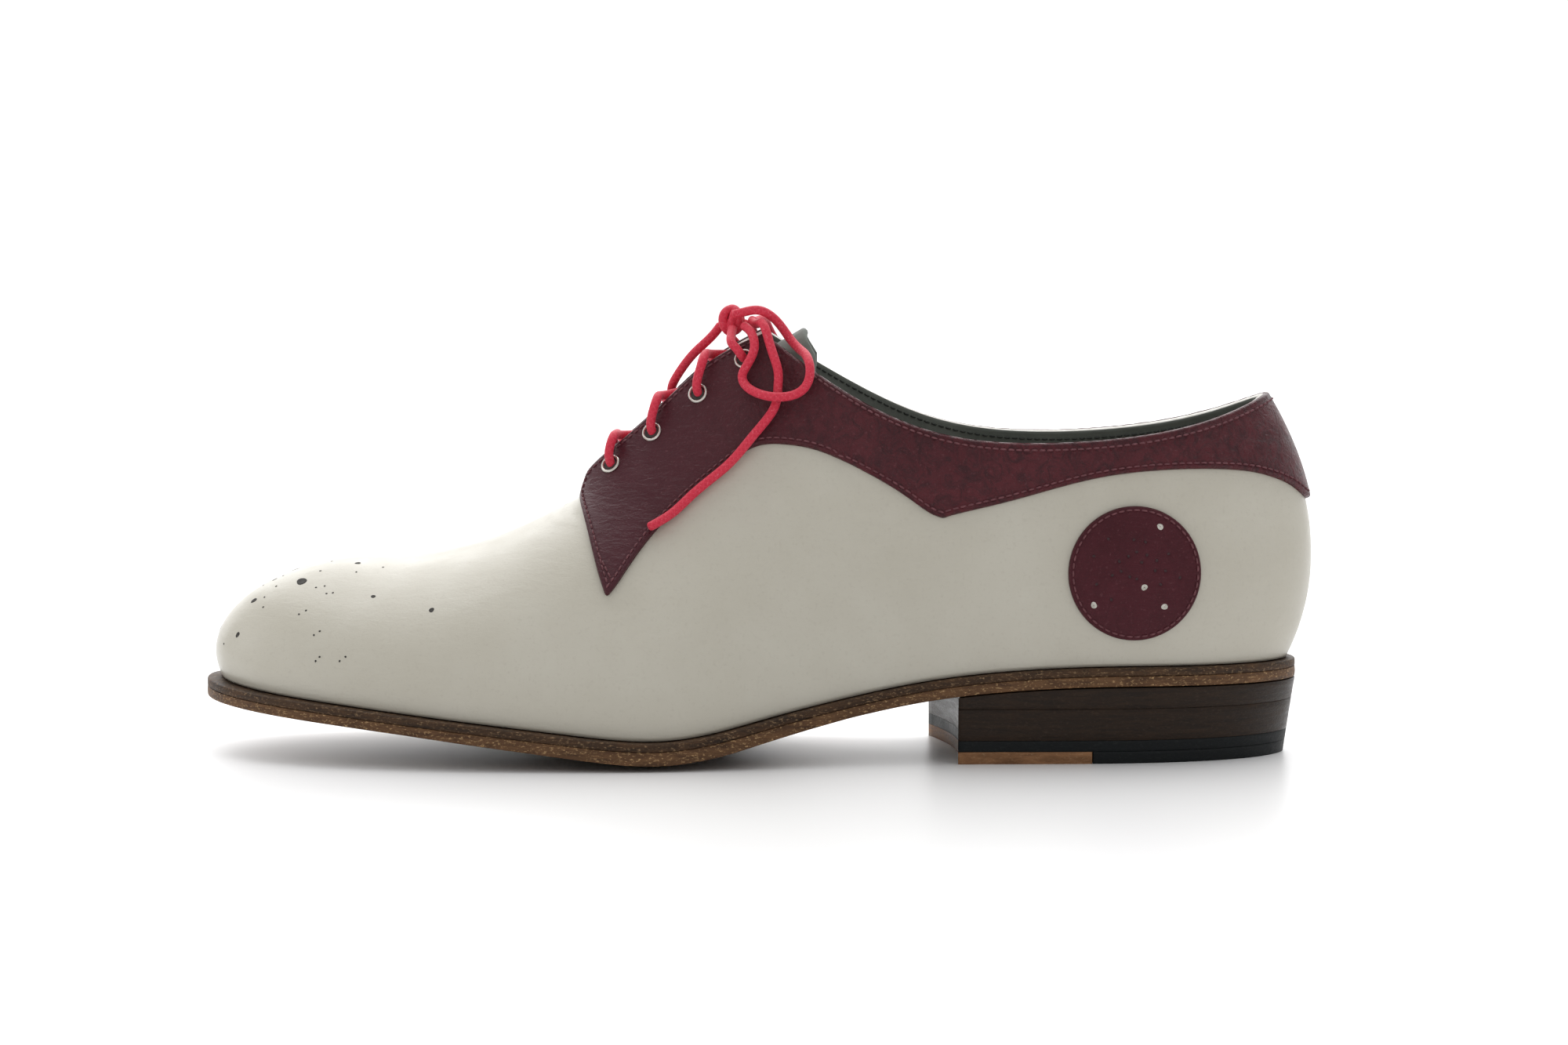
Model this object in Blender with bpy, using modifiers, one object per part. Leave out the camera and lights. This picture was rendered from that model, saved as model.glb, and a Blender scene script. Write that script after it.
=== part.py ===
"""A man's spectator derby shoe for the left foot, built as a shoemaker would put it together.

The toe points along -X, the outer (lateral) side is -Y and up is +Z. Sizes are in metres.
The upper is one hollow shell over the last, open at the collar, at the throat and underneath.
Welt, outsole and heel follow the same last bottom, and everything that lies on the upper
(facing with collar band, patch, eyelets) is worked out from the upper's own surface.
"""
import math

import bmesh
import bpy
import numpy as np
from mathutils import Matrix, Vector

# Last: the form that the upper takes
LAST_LENGTH = 0.294          # feather line, toe tip to heel back
BALL_WIDTH = 0.098           # widest stretch of the feather line
LAST_SHIFT = -0.0018         # puts the whole shoe's middle on the origin
TOE_SPRING = 0.0134          # feather at the toe above the feather at the ball
HEEL_RISE = 0.0183           # feather at the heel above the feather at the ball
INSTEP_HEIGHT = 0.1145       # top corner of the throat above the floor
BACK_HEIGHT = 0.0984         # collar at the heel above the floor
ARCH_LIFT = 0.0030           # extra height of the inner side at the arch
COLLAR_LIFT = 0.0020         # extra height of the inner side at the front of the collar
CAMBER = 0.0029              # hollow of the forepart across the last bottom

# Layers
GAP = 0.0003                 # clearance between two pieces that touch
WALL = 0.0020                # upper with its lining
OVERLAY = 0.0013             # facing, collar band and patch
WELT = 0.0022
WELT_OUT_FRONT = 0.0042      # how far the sole stands out from the feather line
WELT_OUT_BACK = 0.0024
SOLE_TOE = 0.0024            # outsole under the toes
SOLE_BALL = 0.0035           # outsole at the ball
SOLE_BACK = 0.0026           # outsole in the waist and heel seat
EDGE_LIFT = 0.0017           # outer edge of the forepart above the floor
INSOLE_OVER = 0.0015         # insole above the feather line

# Heel
BREAST_SHARE = 0.688         # outer corner of the heel breast along the last
BREAST_SKEW = 0.0060         # inner corner of the breast lies this much nearer the toe
BREAST_CURVE = 0.0035        # hollow of the breast
TOP_PIECE = 0.0033
BLACK_LIFT = 0.0027
LOWER_LIFT = 0.0083
LEATHER_SHARE = 0.811        # where the leather front of the top piece ends
HEEL_TAPER_SIDE = 0.0012
HEEL_TAPER_BACK = 0.0032

# Patch
PATCH_RADIUS = 0.0180
PATCH_SHARE = 0.850
PATCH_HEIGHT = 0.0515

# Eyelets
EYELET_BORE = 0.0020
EYELET_TUBE = 0.0023
EYELET_FLANGE = 0.0029
EYELET_BEAD = 0.0005
EYELETS = ((7.25, 0.0052), (7.97, 0.0053), (8.75, 0.0062), (9.57, 0.0053))   # row, from the throat's edge

# Tongue
TONGUE_THICKNESS = 0.0024
TONGUE_REACH = 0.0170        # how far it goes under each side of the throat
TONGUE_END = 0.0100          # free end above the throat corners
TONGUE_ARCH = 0.06           # rise of its middle, of the throat's width
# Sections of the tongue: row, room left between the upper's wall and the tongue in millimetres
TONGUE_ROOM = (
    (5.35, 0.5), (5.70, 0.7), (6.00, 0.9), (6.50, 2.9), (7.00, 4.9), (7.60, 4.4),
    (8.20, 4.1), (8.80, 3.9), (9.40, 3.7), (9.80, 3.4), (10.00, 3.2),
)
# Free end of the tongue: share of its length, width kept
TONGUE_TIP = ((0.45, 0.98), (0.80, 0.86), (1.00, 0.62))

# Lace
LACE = 0.0025
LACE_OVER = 0.0036           # centre of the lace above the upper where it lies on the facing
LACE_UNDER = 0.0038          # centre of the lace below the upper's outer surface
LACE_IN_BORE = 0.0020        # how deep the lace goes into an eyelet from above
ARCH_MIDDLE = (-0.0075, 0.0, 0.1135)
KNOT_MIDDLE = (-0.0075, 0.0, 0.1198)
KNOT_SIZE = (0.0082, 0.0086, 0.0088)

# Lace beyond the knot, in millimetres, from the knot to the end of each run
LOOP_LATERAL = (
    (-7.5, -5.9, 120.3), (-4.0, -6.4, 121.1), (0.3, -7.3, 121.5), (4.9, -7.3, 118.3), (8.1, -7.5, 113.9),
    (10.9, -11.0, 111.0), (12.6, -15.6, 109.6), (13.6, -20.2, 107.0), (13.5, -21.5, 103.7),
    (12.1, -21.9, 100.9), (9.2, -22.3, 99.1), (4.9, -23.0, 98.6), (0.4, -20.9, 99.2), (-3.4, -17.4, 101.0),
    (-4.9, -15.4, 103.8), (-3.7, -15.3, 106.5), (-2.0, -14.4, 109.6), (-1.4, -13.0, 112.6),
    (-2.4, -10.3, 115.7), (-4.6, -6.9, 117.4),
)
END_LATERAL = (
    (-2.5, -2.0, 118.6), (-1.0, -5.2, 117.7), (0.9, -10.4, 117.9), (2.5, -13.4, 113.4), (4.1, -15.8, 108.5),
    (5.1, -17.3, 104.6), (4.9, -18.9, 100.4), (4.0, -20.9, 95.6), (0.2, -22.0, 90.4), (-3.0, -22.8, 86.6),
    (-7.7, -23.0, 81.1), (-13.2, -23.2, 76.4), (-18.6, -24.3, 71.9), (-23.7, -26.2, 67.3),
    (-30.0, -29.3, 63.7),
)
LOOP_MEDIAL = (
    (-10.6, 4.6, 117.4), (-13.6, 5.0, 113.6), (-18.1, 5.0, 109.4), (-22.0, 6.9, 104.4), (-24.6, 9.9, 99.4),
    (-23.4, 11.4, 95.7), (-19.6, 14.8, 90.6), (-14.1, 18.0, 87.1), (-8.0, 19.8, 87.5), (-2.9, 20.1, 91.0),
    (0.0, 19.1, 96.6), (1.4, 17.2, 102.6), (0.7, 14.9, 108.7), (-1.1, 13.1, 112.7), (-2.4, 10.4, 116.0),
    (-4.6, 6.9, 117.5),
)
END_MEDIAL = (
    (-2.5, 2.0, 118.6), (-1.0, 5.4, 118.1), (1.0, 10.5, 118.3), (2.6, 14.2, 115.2), (4.4, 15.2, 111.9),
    (5.9, 16.3, 108.5), (6.8, 17.8, 104.6), (6.4, 19.5, 99.6), (5.3, 21.0, 94.5), (2.8, 22.0, 89.7),
    (-0.7, 21.6, 85.3), (-5.0, 21.3, 80.5), (-10.0, 21.4, 76.2), (-14.9, 22.1, 71.7), (-19.6, 23.2, 67.2),
)
MM = 0.001

# Counts
RIBS_VAMP = 14
RIBS_STEP = 3
RIBS_THROAT = 7
RIBS_COLLAR = 13
PANELS_UP = 8
FACING_PANEL = 3             # panel at which facing and collar band start
SOLE_ACROSS = 6
HEEL_ROWS = 12
HEEL_ACROSS = 6
EYELET_SIDES = 10
LACE_SIDES = 2               # bevel resolution, 2 gives eight sides
LACE_STEP = 2.4              # diameters from one point of a free lace to the next

# Feather line, a row for each section from the toe tip to the heel back.
# share: of the last's length. lateral, medial: of the ball width, from the heel's centre line.
# rise: of the toe spring before the ball, of the heel rise after it.
FEATHER_COLUMNS = ("share", "lateral", "medial", "rise")
FEATHER = (
    (0.000, -0.060, 0.060, 0.930),
    (0.008, 0.080, 0.200, 0.900),
    (0.032, 0.195, 0.300, 0.830),
    (0.074, 0.300, 0.380, 0.730),
    (0.142, 0.395, 0.440, 0.580),
    (0.231, 0.463, 0.482, 0.366),
    (0.329, 0.495, 0.480, 0.127),
    (0.424, 0.490, 0.415, 0.000),
    (0.510, 0.430, 0.345, 0.275),
    (0.588, 0.375, 0.312, 0.570),
    (0.666, 0.347, 0.307, 0.810),
    (0.744, 0.340, 0.312, 0.945),
    (0.819, 0.335, 0.318, 1.000),
    (0.887, 0.305, 0.300, 1.000),
    (0.945, 0.235, 0.240, 0.995),
    (0.984, 0.130, 0.140, 0.990),
    (1.000, 0.000, 0.000, 0.990),
)
BALL_ROW = 7
ARCH_ROW = 9.2
COLLAR_LIFT_ROW = 11.2
LIFT_SPREAD = 1.3

# Top line, a row for each section: ridge of the vamp, edge of the throat, collar.
# share: of the last's length. centre, half: of the ball width.
# height: of the instep height up to the throat corner, of the back height after it.
TOP_COLUMNS = ("share", "centre", "half", "height")
TOP_LINE = (
    (0.125, 0.045, 0.000, 0.461),
    (0.130, 0.044, 0.000, 0.462),
    (0.144, 0.041, 0.000, 0.462),
    (0.169, 0.035, 0.000, 0.464),
    (0.210, 0.025, 0.000, 0.480),
    (0.268, 0.012, 0.000, 0.523),
    (0.336, 0.000, 0.000, 0.608),
    (0.353, 0.000, 0.051, 0.686),
    (0.401, 0.000, 0.056, 0.797),
    (0.455, 0.000, 0.061, 0.926),
    (0.511, 0.000, 0.077, 1.005),
    (0.581, 0.000, 0.214, 1.024),
    (0.669, 0.000, 0.281, 0.907),
    (0.771, 0.000, 0.286, 0.878),
    (0.870, 0.000, 0.250, 0.902),
    (0.941, 0.000, 0.153, 0.955),
    (0.9765, 0.000, 0.000, 1.000),
)
THROAT_ROW = 6
CORNER_ROW = 10

# Shape of each rib from feather to top line, as the two inner points of a Bezier curve.
# low_out, high_out: outward, of the ball width. low_up, high_down: of the rib's height.
# high_run: of the way in plan from the top back to the feather.
RIB_COLUMNS = ("low_out", "low_up", "high_run", "high_out", "high_down")
RIB = (
    (0.088, 0.500, 0.74, 0.00, 0.00),
    (0.080, 0.495, 0.73, 0.00, 0.00),
    (0.064, 0.480, 0.70, 0.00, 0.00),
    (0.050, 0.460, 0.65, 0.00, 0.00),
    (0.040, 0.430, 0.58, 0.00, 0.00),
    (0.036, 0.420, 0.56, 0.00, 0.00),
    (0.036, 0.400, 0.52, 0.00, 0.00),
    (0.040, 0.370, 0.36, 0.02, 0.11),
    (0.045, 0.360, 0.30, 0.04, 0.17),
    (0.050, 0.360, 0.20, 0.08, 0.20),
    (0.055, 0.360, 0.15, 0.10, 0.22),
    (0.055, 0.360, 0.15, 0.05, 0.25),
    (0.050, 0.380, 0.20, 0.02, 0.30),
    (0.050, 0.380, 0.20, 0.03, 0.32),
    (0.058, 0.330, 0.20, 0.06, 0.34),
    (0.072, 0.270, 0.15, 0.12, 0.38),
    (0.088, 0.220, 0.00, 0.19, 0.42),
)

# Lower edge of facing and collar band from the side.
# share: of the last's length. height: of the back height.
FACING_FRONT = (
    (0.339, 0.860), (0.3405, 0.720), (0.3446, 0.661), (0.3524, 0.582), (0.3592, 0.525), (0.3677, 0.480),
)
FACING_BELOW = (
    (0.3677, 0.480), (0.378, 0.527), (0.401, 0.623), (0.4354, 0.730), (0.4714, 0.818), (0.500, 0.872),
    (0.525, 0.882), (0.550, 0.873), (0.5714, 0.850), (0.600, 0.807), (0.636, 0.744), (0.660, 0.698),
    (0.675, 0.681),
)
BAND_BELOW = (
    (0.675, 0.681), (0.690, 0.697), (0.744, 0.743), (0.8156, 0.797), (0.888, 0.815), (0.946, 0.810),
    (0.977, 0.792), (0.999, 0.764), (1.017, 0.722), (1.040, 0.665),
)

LAST_ROW = len(FEATHER) - 1
LOOP_LENGTH = 2 * LAST_ROW
LAYERS_UNDER = 2 * GAP + WELT            # from the feather down to the outsole's top
BALL_HEIGHT = LAYERS_UNDER + SOLE_BALL + EDGE_LIFT


def clear_scene():
    for item in list(bpy.data.objects):
        bpy.data.objects.remove(item, do_unlink=True)


def new_collection(name):
    made = bpy.data.collections.new(name)
    bpy.context.scene.collection.children.link(made)
    return made


def column(table, columns, name):
    return np.array([row[columns.index(name)] for row in table])


def spline(values, at, loop=False):
    """Cubic spline through values given at 0, 1, 2 and so on, read at the places in at."""
    values = np.asarray(values, float)
    count = len(values)
    matrix = 4 * np.eye(count) + np.roll(np.eye(count), 1, axis=0) + np.roll(np.eye(count), -1, axis=0)
    right = 6 * (np.roll(values, 1) - 2 * values + np.roll(values, -1))
    if not loop:
        matrix[0] = np.eye(count)[0]
        matrix[-1] = np.eye(count)[-1]
        right[[0, -1]] = 0
    bend = np.linalg.solve(matrix, right)
    if loop:
        at = np.mod(at, count)
        values = np.append(values, values[0])
        bend = np.append(bend, bend[0])
    first = np.clip(np.floor(at).astype(int), 0, len(values) - 2)
    part = at - first
    rest = 1 - part
    straight = rest * values[first] + part * values[first + 1]
    return straight + ((rest**3 - rest) * bend[first] + (part**3 - part) * bend[first + 1]) / 6


def along_last(share):
    return (np.asarray(share) - 0.5) * LAST_LENGTH + LAST_SHIFT


def loop_values(lateral, medial):
    """One value for each place of the closed feather line: lateral rows, then medial rows back."""
    return np.concatenate([lateral, medial[-2:0:-1]])


def feather(place, spread=0.0):
    """Points of the feather line at places 0 to LOOP_LENGTH, moved outward in plan by spread."""
    share = column(FEATHER, FEATHER_COLUMNS, "share")
    lateral = column(FEATHER, FEATHER_COLUMNS, "lateral") * BALL_WIDTH
    medial = column(FEATHER, FEATHER_COLUMNS, "medial") * BALL_WIDTH
    rise = column(FEATHER, FEATHER_COLUMNS, "rise")
    row = np.arange(LAST_ROW + 1)
    height = BALL_HEIGHT + rise * np.where(row < BALL_ROW, TOE_SPRING, HEEL_RISE)
    arch = ARCH_LIFT * np.exp(-(((row - ARCH_ROW) / LIFT_SPREAD) ** 2))
    x_loop = loop_values(along_last(share), along_last(share))
    y_loop = loop_values(-lateral, medial)
    z_loop = loop_values(height, height + arch)
    step = 0.01
    along = spline(x_loop, place + step, True) - spline(x_loop, place - step, True)
    aside = spline(y_loop, place + step, True) - spline(y_loop, place - step, True)
    length = np.hypot(along, aside)
    out = np.stack([aside / length, -along / length, np.zeros_like(along)], axis=-1)
    base = np.stack([spline(values, place, True) for values in (x_loop, y_loop, z_loop)], axis=-1)
    return base + out * np.asarray(spread)[..., None], out


def lateral_place(row):
    return np.asarray(row, float)


def medial_place(row):
    return LOOP_LENGTH - np.asarray(row, float)


def side_place(row, side):
    return lateral_place(row) if side == "lateral" else medial_place(row)


def by_stretch(values, row, sign=1):
    """Spline in three stretches, so that throat and collar start with a corner.

    At the toe and at the heel the curve runs on into its mirror image, which keeps both round.
    """
    result = np.zeros_like(row)
    ahead = np.concatenate([sign * values[THROAT_ROW:0:-1], values[:THROAT_ROW + 1]])
    behind = np.concatenate([values[CORNER_ROW:], sign * values[LAST_ROW - 1:CORNER_ROW - 1:-1]])
    vamp = row <= THROAT_ROW
    collar = row >= CORNER_ROW
    throat = ~vamp & ~collar
    result[vamp] = spline(ahead, row[vamp] + THROAT_ROW)
    result[throat] = spline(values[THROAT_ROW:CORNER_ROW + 1], row[throat] - THROAT_ROW)
    result[collar] = spline(behind, row[collar] - CORNER_ROW)
    return result


def top_line(row, side):
    share = by_stretch(column(TOP_LINE, TOP_COLUMNS, "share"), row)
    centre = by_stretch(column(TOP_LINE, TOP_COLUMNS, "centre"), row) * BALL_WIDTH
    half = by_stretch(column(TOP_LINE, TOP_COLUMNS, "half"), row, -1) * BALL_WIDTH
    index = np.arange(LAST_ROW + 1)
    base = np.where(index <= CORNER_ROW, INSTEP_HEIGHT, BACK_HEIGHT)
    height = column(TOP_LINE, TOP_COLUMNS, "height") * base
    outward = -1 if side == "lateral" else 1
    lift = COLLAR_LIFT * np.exp(-(((row - COLLAR_LIFT_ROW) / LIFT_SPREAD) ** 2)) * (side == "medial")
    level = by_stretch(height, row) + lift * np.clip(row - THROAT_ROW, 0, 1)
    return np.stack([along_last(share), centre + outward * half, level], axis=-1)


def ribs(row, side, up):
    """Grid of the upper's outer surface: a rib for each row, a point for each share of its length."""
    row = np.asarray(row, float)
    foot, out = feather(side_place(row, side))
    top = top_line(row, side)
    shape = {name: spline(column(RIB, RIB_COLUMNS, name), row)[:, None] for name in RIB_COLUMNS}
    rise = np.zeros_like(foot)
    rise[:, 2] = top[:, 2] - foot[:, 2]
    run = foot - top
    run[:, 2] = 0
    low = foot + out * shape["low_out"] * BALL_WIDTH + rise * shape["low_up"]
    high = top + run * shape["high_run"] + out * shape["high_out"] * BALL_WIDTH - rise * shape["high_down"]
    step = 0.02
    ahead = top_line(np.minimum(row + step, THROAT_ROW), side)
    ahead = ahead - top_line(np.minimum(row, THROAT_ROW - step), side)
    slope = ahead[:, 2] / ahead[:, 0]
    ridge = row <= THROAT_ROW
    high[ridge, 2] += (slope * (high[:, 0] - top[:, 0]))[ridge]
    fine = np.linspace(0, 1, 41)[:, None]
    grid = []
    for index in range(len(row)):
        curve = ((1 - fine) ** 3 * foot[index] + 3 * fine * (1 - fine) ** 2 * low[index]
                 + 3 * fine**2 * (1 - fine) * high[index] + fine**3 * top[index])
        length = np.append(0, np.cumsum(np.linalg.norm(np.diff(curve, axis=0), axis=1)))
        wanted = np.asarray(up) * length[-1]
        grid.append(np.stack([np.interp(wanted, length, curve[:, axis]) for axis in range(3)], axis=-1))
    return np.array(grid)


def rib_length(row, side):
    edge = ribs(row, side, np.linspace(0, 1, 41))
    return np.linalg.norm(np.diff(edge, axis=1), axis=2).sum(axis=1)


def outward_normals(grid, side):
    """Unit normals of a grid of ribs, pointing out of the shoe."""
    normal = np.cross(np.gradient(grid, axis=0), np.gradient(grid, axis=1))
    if side == "medial":
        normal = -normal
    return normal / np.linalg.norm(normal, axis=2, keepdims=True)


def grid_faces(rows, columns, start=0, flip=False):
    faces = []
    for row in range(rows - 1):
        for place in range(columns - 1):
            corner = start + row * columns + place
            face = (corner, corner + columns, corner + columns + 1, corner + 1)
            faces.append(face[::-1] if flip else face)
    return faces


def grid_triangles(rows, columns, start=0, flip=False):
    """Quads of a grid split along one diagonal, so that two grids with the same rows stay parallel."""
    faces = []
    for one, two, three, four in grid_faces(rows, columns, start, flip):
        faces += [(one, two, three), (one, three, four)] if flip else [(one, two, four), (two, three, four)]
    return faces


def mesh_object(name, points, faces, collection):
    mesh = bpy.data.meshes.new(name)
    mesh.from_pydata([tuple(point) for point in points], [], faces)
    work = bmesh.new()
    work.from_mesh(mesh)
    bmesh.ops.remove_doubles(work, verts=work.verts, dist=0.00002)
    bmesh.ops.dissolve_degenerate(work, edges=work.edges, dist=0.00001)
    work.to_mesh(mesh)
    work.free()
    made = bpy.data.objects.new(name, mesh)
    collection.objects.link(made)
    return made


def finish(made, material, angle=40):
    made.data.shade_smooth()
    made.data.set_sharp_from_angle(angle=math.radians(angle))
    made.data.materials.clear()
    made.data.materials.append(material)
    return made


def thicken(made, thickness, outward):
    shell = made.modifiers.new("Wall", "SOLIDIFY")
    shell.thickness = thickness
    shell.offset = 1 if outward else -1
    shell.use_rim = True


def cut(made, cutter, operation):
    boolean = made.modifiers.new(operation.capitalize(), "BOOLEAN")
    boolean.operation = operation
    boolean.object = cutter
    boolean.solver = "EXACT"


def as_cutter(made):
    made.hide_render = True
    made.display_type = "WIRE"
    return made


def material(name, colour, roughness, metallic=0.0):
    made = bpy.data.materials.new(name)
    made.use_nodes = True
    shader = made.node_tree.nodes["Principled BSDF"]
    shader.inputs["Base Color"].default_value = (*colour, 1)
    shader.inputs["Roughness"].default_value = roughness
    shader.inputs["Metallic"].default_value = metallic
    return made


def closed_slab(name, above, below, collection):
    """Solid between two grids of the same size, with a wall on each of its four sides."""
    rows, columns = above.shape[:2]
    points = np.concatenate([above.reshape(-1, 3), below.reshape(-1, 3)])
    size = rows * columns
    faces = grid_faces(rows, columns) + grid_faces(rows, columns, size, True)
    near = [row * columns for row in range(rows)]
    far = [row * columns + columns - 1 for row in range(rows)]
    front = list(range(columns))
    back = [(rows - 1) * columns + place for place in range(columns)]
    for edge, flip in ((near, False), (far, True), (front, True), (back, False)):
        for one, two in zip(edge[:-1], edge[1:]):
            face = (one, one + size, two + size, two)
            faces.append(face[::-1] if flip else face)
    return mesh_object(name, points, faces, collection)


def across_last(lateral_rows, medial_rows, across, spread, hollow=0.0):
    """Grid over the last bottom: lines from the lateral to the medial edge, hollowed by the camber."""
    near, _ = feather(lateral_place(lateral_rows), spread)
    far, _ = feather(medial_place(medial_rows), spread)
    part = np.asarray(across)[None, :, None]
    grid = near[:, None] * (1 - part) + far[:, None] * part
    front_part = np.clip((CORNER_ROW - lateral_rows) / 2, 0, 1)[:, None]
    width = np.linalg.norm(far - near, axis=1)[:, None]
    bow = 4 * np.asarray(across) * (1 - np.asarray(across))
    grid[:, :, 2] -= CAMBER * front_part * bow * np.clip(width / BALL_WIDTH * 1.2, 0, 1)
    grid[:, :, 0] += hollow * bow
    return grid


def row_at(share):
    return float(np.interp(share, column(FEATHER, FEATHER_COLUMNS, "share"), np.arange(LAST_ROW + 1)))


def sole_spread(row):
    """How far the sole stands out from the feather line at each row."""
    ball_end, waist = BALL_ROW - 0.5, BALL_ROW + 2.5
    return np.interp(row, (ball_end, waist), (WELT_OUT_FRONT, WELT_OUT_BACK))


def sole_thickness(row):
    return np.interp(row, (BALL_ROW - 2.5, BALL_ROW - 0.3, BALL_ROW + 0.5, BALL_ROW + 2),
                     (SOLE_TOE, SOLE_BALL, SOLE_BALL, SOLE_BACK))


def lowered(grid, amount):
    result = grid.copy()
    result[:, :, 2] -= amount
    return result


def upper_rows():
    """Rows of the upper's ribs. Every layer below uses them too, so that all of them bend alike."""
    return np.concatenate([
        np.linspace(0, THROAT_ROW, RIBS_VAMP),
        np.linspace(THROAT_ROW, THROAT_ROW + 1, RIBS_STEP + 1)[1:],
        np.linspace(THROAT_ROW + 1, CORNER_ROW, RIBS_THROAT + 1)[1:],
        np.linspace(CORNER_ROW, LAST_ROW, RIBS_COLLAR + 1)[1:],
    ])


def upper_panels():
    return np.linspace(0, 1, PANELS_UP + 1)


def make_insole(parts, finish_with):
    rows = upper_rows()
    grid = across_last(rows, rows, np.linspace(0, 1, SOLE_ACROSS), -(WALL + GAP))
    made = closed_slab("insole", lowered(grid, -INSOLE_OVER), lowered(grid, GAP + WELT), parts)
    return finish(made, finish_with)


def make_outsole(parts, finish_with):
    rows = upper_rows()
    grid = across_last(rows, rows, np.linspace(0, 1, SOLE_ACROSS), sole_spread(rows))
    above = lowered(grid, LAYERS_UNDER)
    below = lowered(above, sole_thickness(rows)[:, None])
    below[:, :, 2] = np.maximum(below[:, :, 2], 0)
    return finish(closed_slab("outsole", above, below, parts), finish_with)


def make_welt(parts, finish_with):
    """Ring between upper and outsole, with a square section carried round the feather line."""
    places = np.concatenate([upper_rows(), LOOP_LENGTH - upper_rows()[-2:0:-1]])
    row = np.minimum(places, LOOP_LENGTH - places)
    inner, _ = feather(places, -WALL)
    outer, _ = feather(places, sole_spread(row))
    loops = []
    for edge, drop in ((inner, GAP), (outer, GAP), (outer, GAP + WELT), (inner, GAP + WELT)):
        line = edge.copy()
        line[:, 2] -= drop
        loops.append(line)
    count = len(places)
    faces = []
    for loop in range(4):
        for place in range(count):
            one = loop * count + place
            two = loop * count + (place + 1) % count
            over = (loop + 1) % 4 * count
            faces.append((one, over + place, over + (place + 1) % count, two))
    return finish(mesh_object("welt", np.concatenate(loops), faces, parts), finish_with)


def heel_slab(name, parts, finish_with, front, back, above_at, below_at):
    """Layer of the heel between two shares of the last, from below_at up to above_at or the sole."""
    sole_bottom = HEEL_RISE + BALL_HEIGHT - LAYERS_UNDER - SOLE_BACK
    skew = BREAST_SKEW / LAST_LENGTH
    lateral_rows = np.linspace(row_at(front), row_at(back), HEEL_ROWS)
    medial_rows = np.linspace(row_at(front - skew), row_at(back - skew if back < 1 else back), HEEL_ROWS)
    across = np.linspace(0, 1, HEEL_ACROSS)
    fade = np.linspace(1, 0 if back >= 1 else 1, HEEL_ROWS)[:, None]
    layers = []
    for height in (above_at, below_at):
        level = sole_bottom if height is None else height
        taper = np.interp(lateral_rows, (11, LAST_ROW), (HEEL_TAPER_SIDE, HEEL_TAPER_BACK))
        spread = sole_spread(lateral_rows) - taper * (1 - level / sole_bottom)
        grid = across_last(lateral_rows, medial_rows, across, spread, BREAST_CURVE * fade)
        if height is None:
            grid[:, :, 2] -= LAYERS_UNDER + sole_thickness(lateral_rows)[:, None] + GAP
        else:
            grid[:, :, 2] = height
        layers.append(grid)
    return finish(closed_slab(name, layers[0], layers[1], parts), finish_with)


def make_heel(parts, looks):
    black = TOP_PIECE + GAP
    lower = black + BLACK_LIFT + GAP
    upper = lower + LOWER_LIFT + GAP
    heel_slab("heel_lift_upper", parts, looks["stack"], BREAST_SHARE, 1, None, upper)
    heel_slab("heel_lift_lower", parts, looks["stack"], BREAST_SHARE, 1, upper - GAP, lower)
    heel_slab("heel_lift_black", parts, looks["rubber"], BREAST_SHARE, 1, lower - GAP, black)
    heel_slab("top_piece_leather", parts, looks["leather"], BREAST_SHARE, LEATHER_SHARE, TOP_PIECE, 0)
    rubber_front = LEATHER_SHARE + GAP / LAST_LENGTH
    heel_slab("top_piece_rubber", parts, looks["rubber"], rubber_front, 1, TOP_PIECE, 0)


def make_upper(parts, finish_with, holes):
    rows = upper_rows()
    up = upper_panels()
    points = []
    faces = []
    for side in ("lateral", "medial"):
        grid = ribs(rows, side, up)
        start = len(points) * len(rows) * len(up)
        faces += grid_triangles(len(rows), len(up), start, side == "medial")
        points.append(grid.reshape(-1, 3))
    made = mesh_object("upper", np.concatenate(points), faces, parts)
    thicken(made, WALL, False)
    cut(made, holes, "DIFFERENCE")
    return finish(made, finish_with, 60)


def overlay_sheet(name, side, rows, up, collection):
    """Sheet that lies a clearance above the upper's surface, thickened outward."""
    grid = ribs(rows, side, up)
    grid = grid + outward_normals(grid, side) * GAP
    faces = grid_triangles(len(rows), len(up), 0, side == "medial")
    made = mesh_object(name, grid.reshape(-1, 3), faces, collection)
    thicken(made, OVERLAY, True)
    return made


def smooth_run(corners, steps=2):
    """Points of a smooth curve through the corners given, in metres."""
    points = np.array(corners)
    at = np.linspace(0, len(points) - 1, (len(points) - 1) * steps + 1)
    return np.stack([along_last(spline(points[:, 0], at)), spline(points[:, 1], at) * BACK_HEIGHT], axis=-1)


def mesh_from_curve(name, curve, collection):
    """Mesh of a curve, welded because a curve's caps are not joined to its sides."""
    drawn = bpy.data.objects.new(name, curve)
    collection.objects.link(drawn)
    bpy.context.view_layer.update()
    mesh = bpy.data.meshes.new_from_object(drawn.evaluated_get(bpy.context.evaluated_depsgraph_get()))
    bpy.data.objects.remove(drawn, do_unlink=True)
    work = bmesh.new()
    work.from_mesh(mesh)
    bmesh.ops.remove_doubles(work, verts=work.verts, dist=0.00001)
    bmesh.ops.recalc_face_normals(work, faces=work.faces)
    work.to_mesh(mesh)
    work.free()
    made = bpy.data.objects.new(name, mesh)
    collection.objects.link(made)
    return made


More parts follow.
